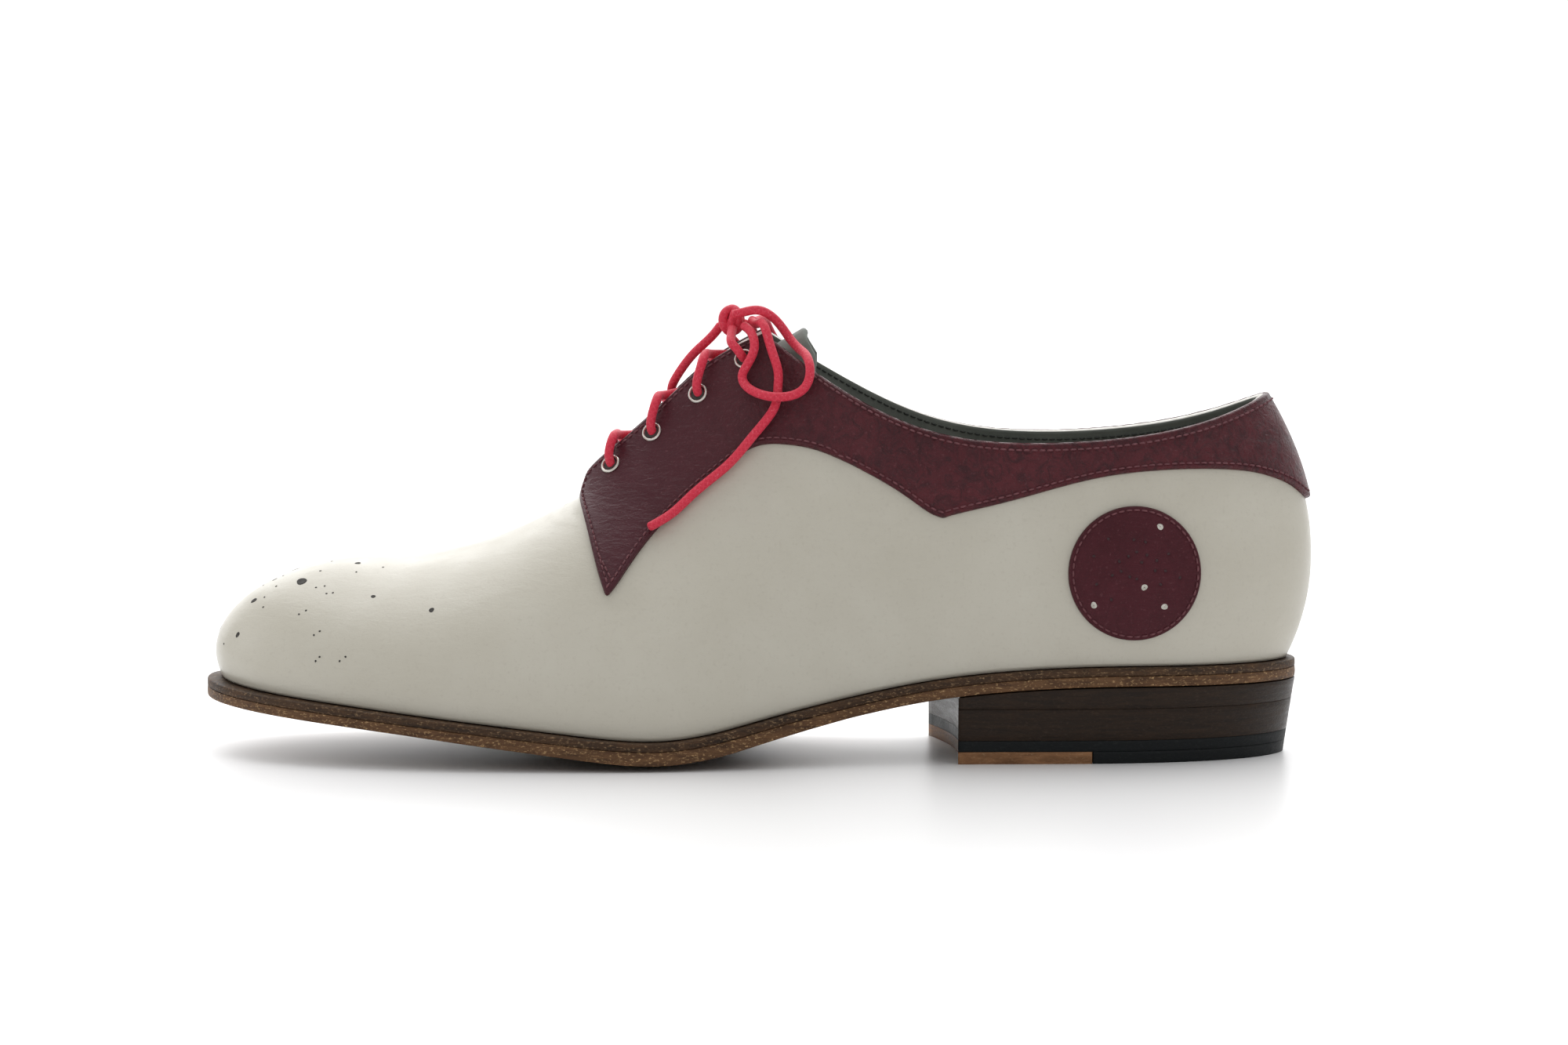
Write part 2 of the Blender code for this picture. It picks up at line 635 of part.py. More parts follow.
def side_prism(name, outline, side, cutters):
    """Side view outline as a 2D curve, swept across one half of the shoe."""
    depth = BALL_WIDTH
    curve = bpy.data.curves.new(name, "CURVE")
    curve.dimensions = "2D"
    curve.fill_mode = "BOTH"
    curve.extrude = depth / 2
    line = curve.splines.new("POLY")
    line.points.add(len(outline) - 1)
    for point, (along, up) in zip(line.points, outline):
        point.co = (along, up, 0, 1)
    line.use_cyclic_u = True
    outward = -1 if side == "lateral" else 1
    place = Matrix.Translation((0, outward * (depth + GAP) / 2, 0)) @ Matrix.Rotation(math.pi / 2, 4, "X")
    made = mesh_from_curve(name, curve, cutters)
    made.matrix_world = place
    return as_cutter(made)


def band_outline():
    """Facing and collar band from the side, closed well above the collar."""
    sky = INSTEP_HEIGHT + BACK_HEIGHT / 4
    runs = [smooth_run(FACING_FRONT), smooth_run(FACING_BELOW)[1:], smooth_run(BAND_BELOW)[1:]]
    lower = np.concatenate(runs)
    corners = np.array([(lower[-1, 0], sky), (lower[0, 0], sky)])
    return np.concatenate([lower, corners])


def make_facings(parts, cutters, finish_with, holes):
    rows = upper_rows()[RIBS_VAMP - 1:]
    up = upper_panels()[FACING_PANEL:]
    for side in ("lateral", "medial"):
        made = overlay_sheet("facing_collar_" + side, side, rows, up, parts)
        cut(made, holes, "DIFFERENCE")
        cut(made, side_prism("band_" + side, band_outline(), side, cutters), "INTERSECT")
        finish(made, finish_with)


def make_patch(parts, cutters, finish_with):
    rows = upper_rows()[-RIBS_COLLAR:]
    made = overlay_sheet("quarter_patch", "lateral", rows, upper_panels()[:-1], parts)
    bpy.ops.mesh.primitive_cylinder_add(vertices=40, radius=PATCH_RADIUS, depth=BALL_WIDTH)
    cutter = bpy.context.object
    cutter.name = "patch_punch"
    cutter.matrix_world = (Matrix.Translation((along_last(PATCH_SHARE), -BALL_WIDTH / 2, PATCH_HEIGHT))
                           @ Matrix.Rotation(math.pi / 2, 4, "X"))
    for owner in list(cutter.users_collection):
        owner.objects.unlink(cutter)
    cutters.objects.link(as_cutter(cutter))
    cut(made, cutter, "INTERSECT")
    return finish(made, finish_with)


def on_upper(row, side, from_edge):
    """A point of the upper's outer surface, its normal, and the way up the rib to the edge."""
    near = np.array([row - 0.05, row, row + 0.05])
    length = rib_length(near, side)[1]
    patch = ribs(near, side, 1 - (from_edge + np.array([0.002, 0.001, 0])) / length)
    climb = patch[1, 2] - patch[1, 1]
    return patch[1, 2], outward_normals(patch, side)[1, 2], climb / np.linalg.norm(climb)


def eyelet_places():
    """Frame of each eyelet on the upper: its centre on the outer surface, and a turned axis."""
    places = []
    for side in ("lateral", "medial"):
        for row, from_edge in EYELETS:
            point, normal, _ = on_upper(row, side, from_edge)
            turn = Vector(normal).to_track_quat("Z", "Y").to_matrix().to_4x4()
            places.append((side, Matrix.Translation(Vector(point)) @ turn))
    return places


def make_eyelet_holes(cutters):
    work = bmesh.new()
    for _, place in eyelet_places():
        bmesh.ops.create_cone(work, cap_ends=True, segments=EYELET_SIDES, radius1=EYELET_TUBE + GAP,
                              radius2=EYELET_TUBE + GAP, depth=4 * (WALL + OVERLAY), matrix=place)
    mesh = bpy.data.meshes.new("eyelet_holes")
    work.to_mesh(mesh)
    work.free()
    made = bpy.data.objects.new("eyelet_holes", mesh)
    cutters.objects.link(made)
    return as_cutter(made)


def make_eyelets(parts, finish_with):
    """Turned rings: a rolled flange on the facing and a tube down through facing and upper."""
    seat = OVERLAY + 2 * GAP
    profile = (
        (EYELET_BORE, seat + EYELET_BEAD),
        (EYELET_TUBE, seat + EYELET_BEAD),
        (EYELET_FLANGE, seat),
        (EYELET_TUBE, seat),
        (EYELET_TUBE, -WALL),
        (EYELET_BORE, -WALL),
    )
    mesh = bpy.data.meshes.new("eyelet")
    edges = [(index, (index + 1) % len(profile)) for index in range(len(profile))]
    mesh.from_pydata([(radius, 0, height) for radius, height in profile], edges, [])
    mesh.materials.append(finish_with)
    number = {"lateral": 0, "medial": 0}
    for side, place in eyelet_places():
        number[side] += 1
        made = bpy.data.objects.new(f"eyelet_{side}_{number[side]}", mesh)
        made.matrix_world = place
        parts.objects.link(made)
        turned = made.modifiers.new("Turn", "SCREW")
        turned.steps = EYELET_SIDES
        turned.render_steps = EYELET_SIDES
        turned.use_merge_vertices = True
        turned.merge_threshold = 0.00001
        turned.use_smooth_shade = True


def throat_sections(row):
    """Grid across the throat: lateral side, middle, medial side, on the upper's outer surface."""
    shares = np.array([1.0, 0.62, 0.26])
    sections = []
    for one in row:
        single = np.array([one])
        halves = []
        for side in ("lateral", "medial"):
            length = rib_length(single, side)[0]
            reach = 1 - np.append(shares, 0.0) * TONGUE_REACH / length
            halves.append(ribs(single, side, reach)[0])
        middle = (halves[0][-1] + halves[1][-1]) / 2
        middle[2] += TONGUE_ARCH * np.linalg.norm(halves[0][-1] - halves[1][-1])
        sections.append(np.concatenate([halves[0][:-1], [middle], halves[1][-2::-1]]))
    return np.array(sections)


def upward_normals(grid):
    normal = np.cross(np.gradient(grid, axis=0), np.gradient(grid, axis=1))
    normal /= np.linalg.norm(normal, axis=2, keepdims=True)
    middle = grid.shape[1] // 2
    return normal * np.sign(normal[:, middle:middle + 1, 2:3])


def make_tongue(parts, finish_with):
    """Tongue under the throat: the upper's sections sunk below its wall, then a free end."""
    row, room = np.array(TONGUE_ROOM).T
    sections = throat_sections(row)
    above = sections - upward_normals(sections) * (WALL + room * MM)[:, None, None]
    last = above[-1]
    middle = last[len(last) // 2]
    away = middle - above[-3, len(last) // 2]
    away /= np.linalg.norm(away)
    for share, narrow in TONGUE_TIP:
        end = middle + (last - middle) * narrow + away * TONGUE_END * share
        above = np.concatenate([above, end[None]])
    below = above - upward_normals(above) * TONGUE_THICKNESS
    return finish(closed_slab("tongue", above, below, parts), finish_with)


def smooth_route(route):
    """Points at even steps of a smooth curve through the points of a route in millimetres."""
    points = np.array(route) * MM
    fine = np.linspace(0, len(points) - 1, 20 * len(points))
    curve = np.stack([spline(points[:, axis], fine) for axis in range(3)], axis=-1)
    length = np.append(0, np.cumsum(np.linalg.norm(np.diff(curve, axis=0), axis=1)))
    wanted = np.linspace(0, length[-1], round(length[-1] / (LACE_STEP * LACE)) + 1)
    return np.stack([np.interp(wanted, length, curve[:, axis]) for axis in range(3)], axis=-1)


def lace_run(name, points, collection):
    """Length of round lace along a line of points, with flat ends."""
    curve = bpy.data.curves.new(name, "CURVE")
    curve.dimensions = "3D"
    curve.bevel_depth = LACE / 2
    curve.bevel_resolution = LACE_SIDES
    curve.use_fill_caps = True
    line = curve.splines.new("POLY")
    line.points.add(len(points) - 1)
    for point, place in zip(line.points, points):
        point.co = (*place, 1)
    return mesh_from_curve(name, curve, collection)


def out_of_eyelet(number, side, edge_row):
    """Lace from inside an eyelet, up through it, over its rim and across the throat's edge."""
    point, normal, climb = on_upper(EYELETS[number][0], side, EYELETS[number][1])
    edge, edge_normal, _ = on_upper(edge_row, side, 0)
    return [
        point - normal * LACE_IN_BORE,
        point + normal * 0.3 * LACE_OVER,
        point + normal * 0.8 * LACE_OVER + climb * 0.15 * LACE,
        point + normal * 1.14 * LACE_OVER + climb * 0.75 * LACE,
        point + normal * 1.14 * LACE_OVER + climb * 1.4 * LACE,
        edge + edge_normal * 1.5 * LACE_OVER,
    ]


def under_eyelet(number, side, edge_row):
    """Lace from the throat's edge to just below an eyelet, between upper and tongue."""
    edge, edge_normal, _ = on_upper(edge_row, side, 0)
    point, normal, _ = on_upper(EYELETS[number][0], side, EYELETS[number][1])
    return [edge - edge_normal * LACE_UNDER, point - normal * LACE_UNDER]


def throat_middle(row):
    return (on_upper(row, "lateral", 0)[0] + on_upper(row, "medial", 0)[0]) / 2


def make_crossing(number, parts, cutters, finish_with):
    """Two strands that cross over the tongue, each from one eyelet to the next one across."""
    name = f"lace_crossing_{number + 1}"
    row = EYELETS[number][0]
    step = EYELETS[number + 1][0] - row
    runs = []
    for side, other in (("lateral", "medial"), ("medial", "lateral")):
        near = out_of_eyelet(number, side, row + 0.2 * step)
        far = under_eyelet(number + 1, other, row + 0.8 * step)
        runs.append(near + [throat_middle(row + 0.5 * step)] + far)
    made = lace_run(name, runs[0], parts)
    cut(made, as_cutter(lace_run(name + "_second", runs[1], cutters)), "UNION")
    return finish(made, finish_with)


def make_lace(parts, cutters, finish_with):
    first = EYELETS[0][0]
    low = throat_middle(first)
    low[2] -= LACE_UNDER
    under = under_eyelet(0, "lateral", first)[::-1] + [low] + under_eyelet(0, "medial", first)
    finish(lace_run("lace_bar", under, parts), finish_with)
    last = len(EYELETS) - 1
    for number in range(last):
        make_crossing(number, parts, cutters, finish_with)
    edge_row = EYELETS[last][0] - 0.05
    over = out_of_eyelet(last, "lateral", edge_row) + [np.array(ARCH_MIDDLE)]
    over += out_of_eyelet(last, "medial", edge_row)[::-1]
    finish(lace_run(f"lace_crossing_{last + 1}", over, parts), finish_with)
    runs = (
        ("lace_loop_lateral", LOOP_LATERAL),
        ("lace_end_lateral", END_LATERAL),
        ("lace_loop_medial", LOOP_MEDIAL),
        ("lace_end_medial", END_MEDIAL),
    )
    for name, route in runs:
        finish(lace_run(name, smooth_route(route), parts), finish_with)
    knot = bpy.data.meshes.new("lace_knot")
    work = bmesh.new()
    bmesh.ops.create_uvsphere(work, u_segments=12, v_segments=7, radius=0.5)
    work.to_mesh(knot)
    work.free()
    knot.transform(Matrix.Translation(KNOT_MIDDLE) @ Matrix.Diagonal((*KNOT_SIZE, 1)))
    made = bpy.data.objects.new("lace_knot", knot)
    parts.objects.link(made)
    finish(made, finish_with)


def main():
    clear_scene()
    parts = new_collection("spectator_shoe")
    cutters = new_collection("cutters")
    looks = {
        "cream": material("Cream calf", (0.50, 0.47, 0.40), 0.35),
        "burgundy": material("Burgundy calf", (0.075, 0.018, 0.026), 0.35),
        "lining": material("Grey green lining", (0.10, 0.11, 0.09), 0.7),
        "insole": material("Insole leather", (0.45, 0.30, 0.18), 0.6),
        "welt": material("Dark welt", (0.05, 0.035, 0.025), 0.6),
        "sole": material("Brown sole leather", (0.12, 0.06, 0.03), 0.5),
        "stack": material("Dark stacked leather", (0.030, 0.022, 0.018), 0.45),
        "rubber": material("Black rubber", (0.006, 0.008, 0.010), 0.6),
        "leather": material("Tan top piece", (0.22, 0.10, 0.045), 0.6),
        "eyelet": material("Pale eyelet metal", (0.80, 0.78, 0.74), 0.3, 1.0),
        "lace": material("Crimson waxed cotton", (0.45, 0.02, 0.06), 0.7),
    }
    holes = make_eyelet_holes(cutters)
    make_upper(parts, looks["cream"], holes)
    make_facings(parts, cutters, looks["burgundy"], holes)
    make_patch(parts, cutters, looks["burgundy"])
    make_tongue(parts, looks["lining"])
    make_insole(parts, looks["insole"])
    make_welt(parts, looks["welt"])
    make_outsole(parts, looks["sole"])
    make_heel(parts, looks)
    make_eyelets(parts, looks["eyelet"])
    make_lace(parts, cutters, looks["lace"])


main()
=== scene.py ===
# %% [markdown]
# # A spectator shoe in cells
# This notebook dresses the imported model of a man's two-tone derby. Each step first says what a piece is
# on the real shoe, how it could be made and why this way was chosen, and then makes it. All new pieces
# are surfaces worked out with numpy, in metres: the toe points along -X, the outer side is -Y, up is +Z.

import math

import bmesh
import bpy
import numpy as np
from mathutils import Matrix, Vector


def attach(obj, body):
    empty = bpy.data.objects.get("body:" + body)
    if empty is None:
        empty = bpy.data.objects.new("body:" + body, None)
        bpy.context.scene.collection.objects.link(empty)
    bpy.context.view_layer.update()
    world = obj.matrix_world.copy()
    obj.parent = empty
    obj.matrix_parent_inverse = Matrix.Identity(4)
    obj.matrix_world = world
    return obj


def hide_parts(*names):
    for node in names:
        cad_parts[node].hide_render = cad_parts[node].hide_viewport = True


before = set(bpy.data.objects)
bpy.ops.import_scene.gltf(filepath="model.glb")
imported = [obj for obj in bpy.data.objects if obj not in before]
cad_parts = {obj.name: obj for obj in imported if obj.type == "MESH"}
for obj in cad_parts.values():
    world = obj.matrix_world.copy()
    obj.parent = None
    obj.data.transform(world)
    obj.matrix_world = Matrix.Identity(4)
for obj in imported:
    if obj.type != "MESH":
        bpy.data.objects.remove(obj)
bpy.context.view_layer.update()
print("loaded", len(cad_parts), "CAD nodes")

# %% [markdown]
# ## The camera
# A product photo of a shoe is taken from far away with a long lens, so that toe and heel keep the same
# scale. The lens is 117 mm on a full frame, 1.4 m from the shoe, and looks down by a few degrees.

# %% Place the camera
CAMERA_PLACE = (0.0066, -1.4000, 0.1710)
CAMERA_DOWN = 4.42
CAMERA_LENS = 116.95


def place_camera():
    """Long lens, level from side to side and turned down by CAMERA_DOWN degrees."""
    data = bpy.data.cameras.new("shoe_camera")
    data.lens = CAMERA_LENS
    data.sensor_width = 36
    data.clip_start = 0.05
    camera = bpy.data.objects.new("shoe_camera", data)
    camera.location = CAMERA_PLACE
    camera.rotation_euler = (math.radians(90 - CAMERA_DOWN), 0, 0)
    bpy.context.scene.collection.objects.link(camera)
    bpy.context.scene.camera = camera
    return camera


print("camera", place_camera().name)

# %% [markdown]
# ## Tools for making pieces
# A grid of points becomes a mesh when each four neighbours are named as a face. A closed sheet is two
# such grids with a wall round their border. Doubles are merged and the faces of closed pieces are
# turned outward, and a finished piece keeps its object at the origin.

# %% Mesh tools
MM = 0.001
GAP = 0.0003  # room left between two layers


def quads(rows, columns, start=0, loop=False):
    """Corner numbers of every quad of a grid, as whole arrays. With loop, the last row meets the first."""
    row = np.arange(rows if loop else rows - 1)[:, None]
    place = np.arange(columns - 1)[None, :]
    one = row * columns + place
    two = (row + 1) % rows * columns + place
    return (np.stack([one, two, two + 1, one + 1], axis=-1) + start).reshape(-1, 4)


def cleaned(mesh, doubles, thin, closed=True):
    """Points nearer than doubles become one, faces thinner than thin go, a closed shell turns outward."""
    work = bmesh.new()
    work.from_mesh(mesh)
    bmesh.ops.remove_doubles(work, verts=work.verts, dist=doubles * MM)
    bmesh.ops.dissolve_degenerate(work, edges=work.edges, dist=thin * MM)
    if closed:
        bmesh.ops.recalc_face_normals(work, faces=work.faces)
        if work.calc_volume(signed=True) < 0:
            bmesh.ops.reverse_faces(work, faces=work.faces)
    work.to_mesh(mesh)
    work.free()


def make_piece(name, points, faces, looks, stands_for=(), closed=True, caps=(), uv=None):
    """Mesh object from points and faces, with its finishes and the nodes it stands for."""
    mesh = bpy.data.meshes.new(name)
    faces = [tuple(face) for face in np.asarray(faces).tolist()] + [tuple(cap) for cap in caps]
    mesh.from_pydata(np.asarray(points).reshape(-1, 3).tolist(), [], faces)
    if uv is not None:
        layer = mesh.uv_layers.new(name="UVMap")
        corners = np.empty(len(mesh.loops), np.int32)
        mesh.loops.foreach_get("vertex_index", corners)
        layer.data.foreach_set("uv", np.asarray(uv, np.float32).reshape(-1, 2)[corners].ravel())
    if closed:
        cleaned(mesh, 0.004, 0.001)
    mesh.shade_smooth()
    piece = bpy.data.objects.new(name, mesh)
    bpy.context.scene.collection.objects.link(piece)
    for look in (looks if isinstance(looks, (list, tuple)) else [looks]):
        mesh.materials.append(look)
    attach(piece, "root")
    if stands_for:
        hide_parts(*stands_for)
    print(f"{name}: {len(mesh.polygons)} faces")
    return piece


def border(rows, columns):
    """Numbers of a grid's border points, once round."""
    return np.concatenate([
        np.arange(columns), np.arange(1, rows) * columns + columns - 1,
        (rows - 1) * columns + np.arange(columns - 2, -1, -1), np.arange(rows - 2, 0, -1) * columns,
    ])


def closed_sheet(name, outer, inner, looks, stands_for=()):
    """Two grids of one shape, joined by a wall round their border."""
    rows, columns = outer.shape[:2]
    size = rows * columns
    ring = border(rows, columns)
    after = np.roll(ring, -1)
    wall = np.stack([ring, after, after + size, ring + size], axis=-1)
    faces = np.concatenate([quads(rows, columns), quads(rows, columns, size)[:, ::-1], wall])
    points = np.concatenate([outer.reshape(-1, 3), inner.reshape(-1, 3)])
    return make_piece(name, points, faces, looks, stands_for)


print("mesh tools ready")


# %% Splines, read at any place
def spline(values, at, loop=False):
    """Cubic spline: between two values it is the straight mix plus a cubic made of their second slopes."""
    values = np.asarray(values, float)
    count = len(values)
    matrix = 4 * np.eye(count) + np.roll(np.eye(count), 1, axis=0) + np.roll(np.eye(count), -1, axis=0)
    right = 6 * (np.roll(values, 1) - 2 * values + np.roll(values, -1))
    if not loop:
        matrix[0] = np.eye(count)[0]
        matrix[-1] = np.eye(count)[-1]
        right[[0, -1]] = 0
    bend = np.linalg.solve(matrix, right)
    if loop:
        at = np.mod(at, count)
        values = np.append(values, values[0])
        bend = np.append(bend, bend[0])
    first = np.clip(np.floor(at).astype(int), 0, len(values) - 2)
    part = at - first
    rest = 1 - part
    straight = rest * values[first] + part * values[first + 1]
    return straight + ((rest**3 - rest) * bend[first] + (part**3 - part) * bend[first + 1]) / 6


def line_length(points):
    """Length along a line of points, from its start to each of them."""
    return np.append(0, np.cumsum(np.linalg.norm(np.diff(points, axis=0), axis=1)))


def at_lengths(points, wanted):
    """Points at the wanted lengths along a line."""
    length = line_length(points)
    return np.stack([np.interp(wanted, length, values) for values in points.T], axis=-1)


def smooth_line(points, step):
    """Spline through the points, read again at even steps of its length."""
    points = np.asarray(points, float)
    fine = np.linspace(0, len(points) - 1, 24 * len(points))
    curve = np.stack([spline(points[:, axis], fine) for axis in range(3)], axis=-1)
    total = line_length(curve)[-1]
    return at_lengths(curve, np.linspace(0, total, max(8, round(total / step)) + 1))


print("a spline through 0, 1, 0 is", round(float(spline([0, 1, 0], np.array([0.5]))[0]), 3), "at 0.5")

# %% [markdown]
# ## Finishes
# Every finish is a small network of nodes on one Principled shader. Patterns are read in the object's
# own metres, so a noise of scale 1000 has spots of one millimetre. Grain and pores go into bump and
# roughness, and colour varies slowly, as it does on waxed calf.

# %% Node tools
def wire(look, kind, sockets=(), output=0, **settings):
    """Add one node. A value that is a socket is linked, any other value is set on the input."""
    node = look.node_tree.nodes.new("ShaderNode" + kind)
    for key, value in settings.items():
        setattr(node, key, value)
    for key, value in dict(sockets).items():
        if isinstance(value, bpy.types.NodeSocket):
            look.node_tree.links.new(value, node.inputs[key])
        else:
            node.inputs[key].default_value = value
    return node.outputs[output]


def new_look(name, **sockets):
    """Material with one Principled shader and the plain values of its sockets."""
    look = bpy.data.materials.new(name)
    look.use_nodes = True
    for key, value in sockets.items():
        look.node_tree.nodes["Principled BSDF"].inputs[key.replace("_", " ")].default_value = value
    return look


def feed(look, key, socket):
    """Link a socket to an input of the shader."""
    look.node_tree.links.new(socket, look.node_tree.nodes["Principled BSDF"].inputs[key])


def here(look, scale=(1, 1, 1)):
    """Place on the piece in metres, times a scale along each axis."""
    place = wire(look, "TexCoord", output="Object")
    return wire(look, "Mapping", {"Vector": place, "Scale": scale})


def noise(look, place, scale, detail=3.0, roughness=0.5, distortion=0.0):
    """Cloudy value from 0 to 1, with scale spots a metre."""
    return wire(look, "TexNoise", {"Vector": place, "Scale": scale, "Detail": detail,
                                   "Roughness": roughness, "Distortion": distortion})


def cells(look, place, scale):
    """Distance to the nearest of scattered points, scale of them a metre."""
    return wire(look, "TexVoronoi", {"Vector": place, "Scale": scale}, feature="F1")


def ramp(look, value, *stops):
    """Colour ramp with stops of place and linear colour."""
    node = look.node_tree.nodes.new("ShaderNodeValToRGB")
    look.node_tree.links.new(value, node.inputs[0])
    band = node.color_ramp
    while len(band.elements) < len(stops):
        band.elements.new(0.5)
    for element, (place, colour) in zip(band.elements, stops):
        element.position = place
        element.color = (*colour, 1)
    return node.outputs[0]


def span(look, value, low, high, new_low, new_high):
    """Straight line from low to high, held at both ends."""
    return wire(look, "MapRange", {"Value": value, "From Min": low, "From Max": high,
                                   "To Min": new_low, "To Max": new_high})


def mix(look, share, one, two):
    """One colour times the rest of the share, plus two times the share."""
    node = look.node_tree.nodes.new("ShaderNodeMix")
    node.data_type = "RGBA"
    for place, value in ((0, share), (6, one), (7, two)):
        if isinstance(value, bpy.types.NodeSocket):
            look.node_tree.links.new(value, node.inputs[place])
        else:
            node.inputs[place].default_value = value if place == 0 else (*value, 1)
    return node.outputs[2]


def sums(look, operation, one, two):
    """One operation of arithmetic on two values."""
    return wire(look, "Math", {0: one, 1: two}, operation=operation)


def bump(look, height, strength, distance, below=None):
    """Normal tilted by the slope of a height, on top of the normal below."""
    sockets = {"Height": height, "Strength": strength, "Distance": distance}
    if below is not None:
        sockets["Normal"] = below
    return wire(look, "Bump", sockets)


print("node tools ready")


# %% Cream calf of the body
def make_cream():
    """Warm grey white that drifts by a cloudy noise, with faint flecks, pores and flat folds."""
    look = new_look("cream_calf", Coat_Weight=0.12, Coat_Roughness=0.28)
    place = here(look)
    cloud = noise(look, place, 26, 4, 0.6)
    tone = ramp(look, cloud, (0.30, (0.500, 0.472, 0.395)), (0.52, (0.525, 0.498, 0.422)),
                (0.72, (0.550, 0.526, 0.450)))
    fleck = noise(look, place, 950, 2, 0.6)
    tone = mix(look, span(look, fleck, 0.56, 0.75, 0, 0.28), tone, (0.42, 0.385, 0.32))
    feed(look, "Base Color", tone)
    worn = noise(look, place, 90, 4, 0.65)
    feed(look, "Roughness", span(look, worn, 0.3, 0.7, 0.30, 0.46))
    pores = bump(look, cells(look, place, 1500), 0.16, 0.00012)
    folds = noise(look, here(look, (1, 1, 3.2)), 150, 5, 0.6, 0.4)
    feed(look, "Normal", bump(look, folds, 0.22, 0.0006, pores))
    return look


CREAM = make_cream()
print("made", CREAM.name)


# %% Burgundy calf of facing, collar and patch
def make_burgundy(name, collar):
    """Smooth purple brown at the facing, redder and more wrinkled towards the collar along X; painted shade
    darkens the hollows of the wrinkles.
    """
    gloss = 0.24 if collar else 0.14
    look = new_look(name, Coat_Weight=0.03, Coat_Roughness=0.25, Specular_IOR_Level=gloss)
    place = here(look)
    across = wire(look, "SeparateXYZ", {0: place})
    back = span(look, across, -0.03, 0.03, 0, 1) if collar else span(look, across, 0, 1, 0.3, 0.3)
    cloud = noise(look, place, 45, 4, 0.6)
    front_tone = ramp(look, cloud, (0.3, (0.052, 0.010, 0.015)), (0.7, (0.066, 0.013, 0.020)))
    back_tone = ramp(look, cloud, (0.3, (0.066, 0.008, 0.013)), (0.7, (0.094, 0.013, 0.019)))
    tone = mix(look, back, front_tone, back_tone)
    wrinkle = noise(look, here(look, (1.2, 1, 1)), 190, 6, 0.72, 1.6)
    # painted shade: towards the collar the hollows of the wrinkle noise are darkened
    shade = sums(look, "MULTIPLY", span(look, wrinkle, 0.38, 0.56, 0.75, 0), back)
    tone = mix(look, shade, tone, (0.030, 0.006, 0.009))
    fine = noise(look, place, 1300, 2, 0.6)
    feed(look, "Base Color", mix(look, span(look, fine, 0.6, 0.8, 0, 0.5), tone, (0.16, 0.06, 0.07)))
    feed(look, "Roughness", span(look, noise(look, place, 160, 4, 0.6), 0.3, 0.7, 0.26, 0.44))
    pores = bump(look, cells(look, place, 1600), 0.18, 0.00012)
    grain = noise(look, place, 420, 4, 0.6, 1.4)
    height = sums(look, "MULTIPLY", sums(look, "ADD", grain, wrinkle), span(look, back, 0, 1, 0.12, 1.0))
    wrinkled = bump(look, height, 0.8, 0.0008, pores)
    folds = noise(look, here(look, (1, 1, 3.4)), 230, 4, 0.6, 0.8)
    feed(look, "Normal", bump(look, folds, 0.42, 0.0006, wrinkled))
    return look


BURGUNDY = make_burgundy("burgundy_calf", True)
PATCH_BURGUNDY = make_burgundy("patch_burgundy_calf", False)
print("made", BURGUNDY.name, PATCH_BURGUNDY.name)


# %% Lining, raw edge, insole and thread
def make_plain(name, dark, light, scale, roughness, depth, stretch=(1, 1, 1), **sockets):
    """Two tones by a cloudy noise, and a bump of the same noise ten times finer."""
    look = new_look(name, **sockets)
    place = here(look, stretch)
    feed(look, "Base Color", ramp(look, noise(look, place, scale, 5, 0.65), (0.32, dark), (0.68, light)))
    dull = noise(look, place, scale * 3, 3)
    feed(look, "Roughness", span(look, dull, 0.3, 0.7, roughness - 0.08, roughness + 0.08))
    feed(look, "Normal", bump(look, noise(look, place, scale * 10, 3, 0.6), 0.4, depth))
    return look


LINING = make_plain("grey_green_lining", (0.105, 0.115, 0.098), (0.155, 0.168, 0.146), 60, 0.62, 0.0003)
RAW_EDGE = make_plain("pale_raw_edge", (0.55, 0.53, 0.48), (0.80, 0.79, 0.75), 300, 0.7, 0.0002)
INSOLE = make_plain("insole_leather", (0.16, 0.11, 0.07), (0.24, 0.17, 0.11), 40, 0.55, 0.0003)
# the prick look is painted shade for the bottoms of the prick dents
THREAD, LINING_THREAD, PRICK_SHADE_LOOK, PALE_THREAD = (
    make_plain(name, dark, light, 900, 0.6, 0.0001) for name, dark, light in (
        ("burgundy_thread", (0.085, 0.020, 0.026), (0.17, 0.052, 0.062)),
        ("dark_lining_thread", (0.020, 0.024, 0.020), (0.05, 0.056, 0.048)),
        ("painted_prick_shade", (0.020, 0.004, 0.006), (0.045, 0.010, 0.014)),
        ("pale_thread", (0.36, 0.34, 0.29), (0.62, 0.60, 0.54))))
# the dark disc look of pinholes and eyelet bores is painted shade
HOLE_SHADE = make_plain("painted_hole_shade", (0.020, 0.018, 0.016), (0.06, 0.055, 0.05), 700, 0.8, 0.0001)
print("made lining, edge, insole, thread and hole")


# %% Sole, heel and metal
def make_sole_leather(name, dark, light, speck, streak, amount, roughness):
    """Cut leather edge: thin layers lying flat, with pale specks where fibres end."""
    look = new_look(name, Specular_IOR_Level=0.2)
    layers = noise(look, here(look, (1, 1, streak)), 110, 5, 0.7, 0.3)
    specks = noise(look, here(look, (1, 1, 2.2)), 900, 3, 0.7)
    tone = ramp(look, layers, (0.32, dark), (0.66, light))
    feed(look, "Base Color", mix(look, span(look, specks, 0.55, 0.72, 0, amount), tone, speck))
    feed(look, "Roughness", span(look, layers, 0.3, 0.7, roughness - 0.08, roughness + 0.1))
    feed(look, "Normal", bump(look, specks, 0.35, 0.0003, bump(look, layers, 0.4, 0.0006)))
    return look


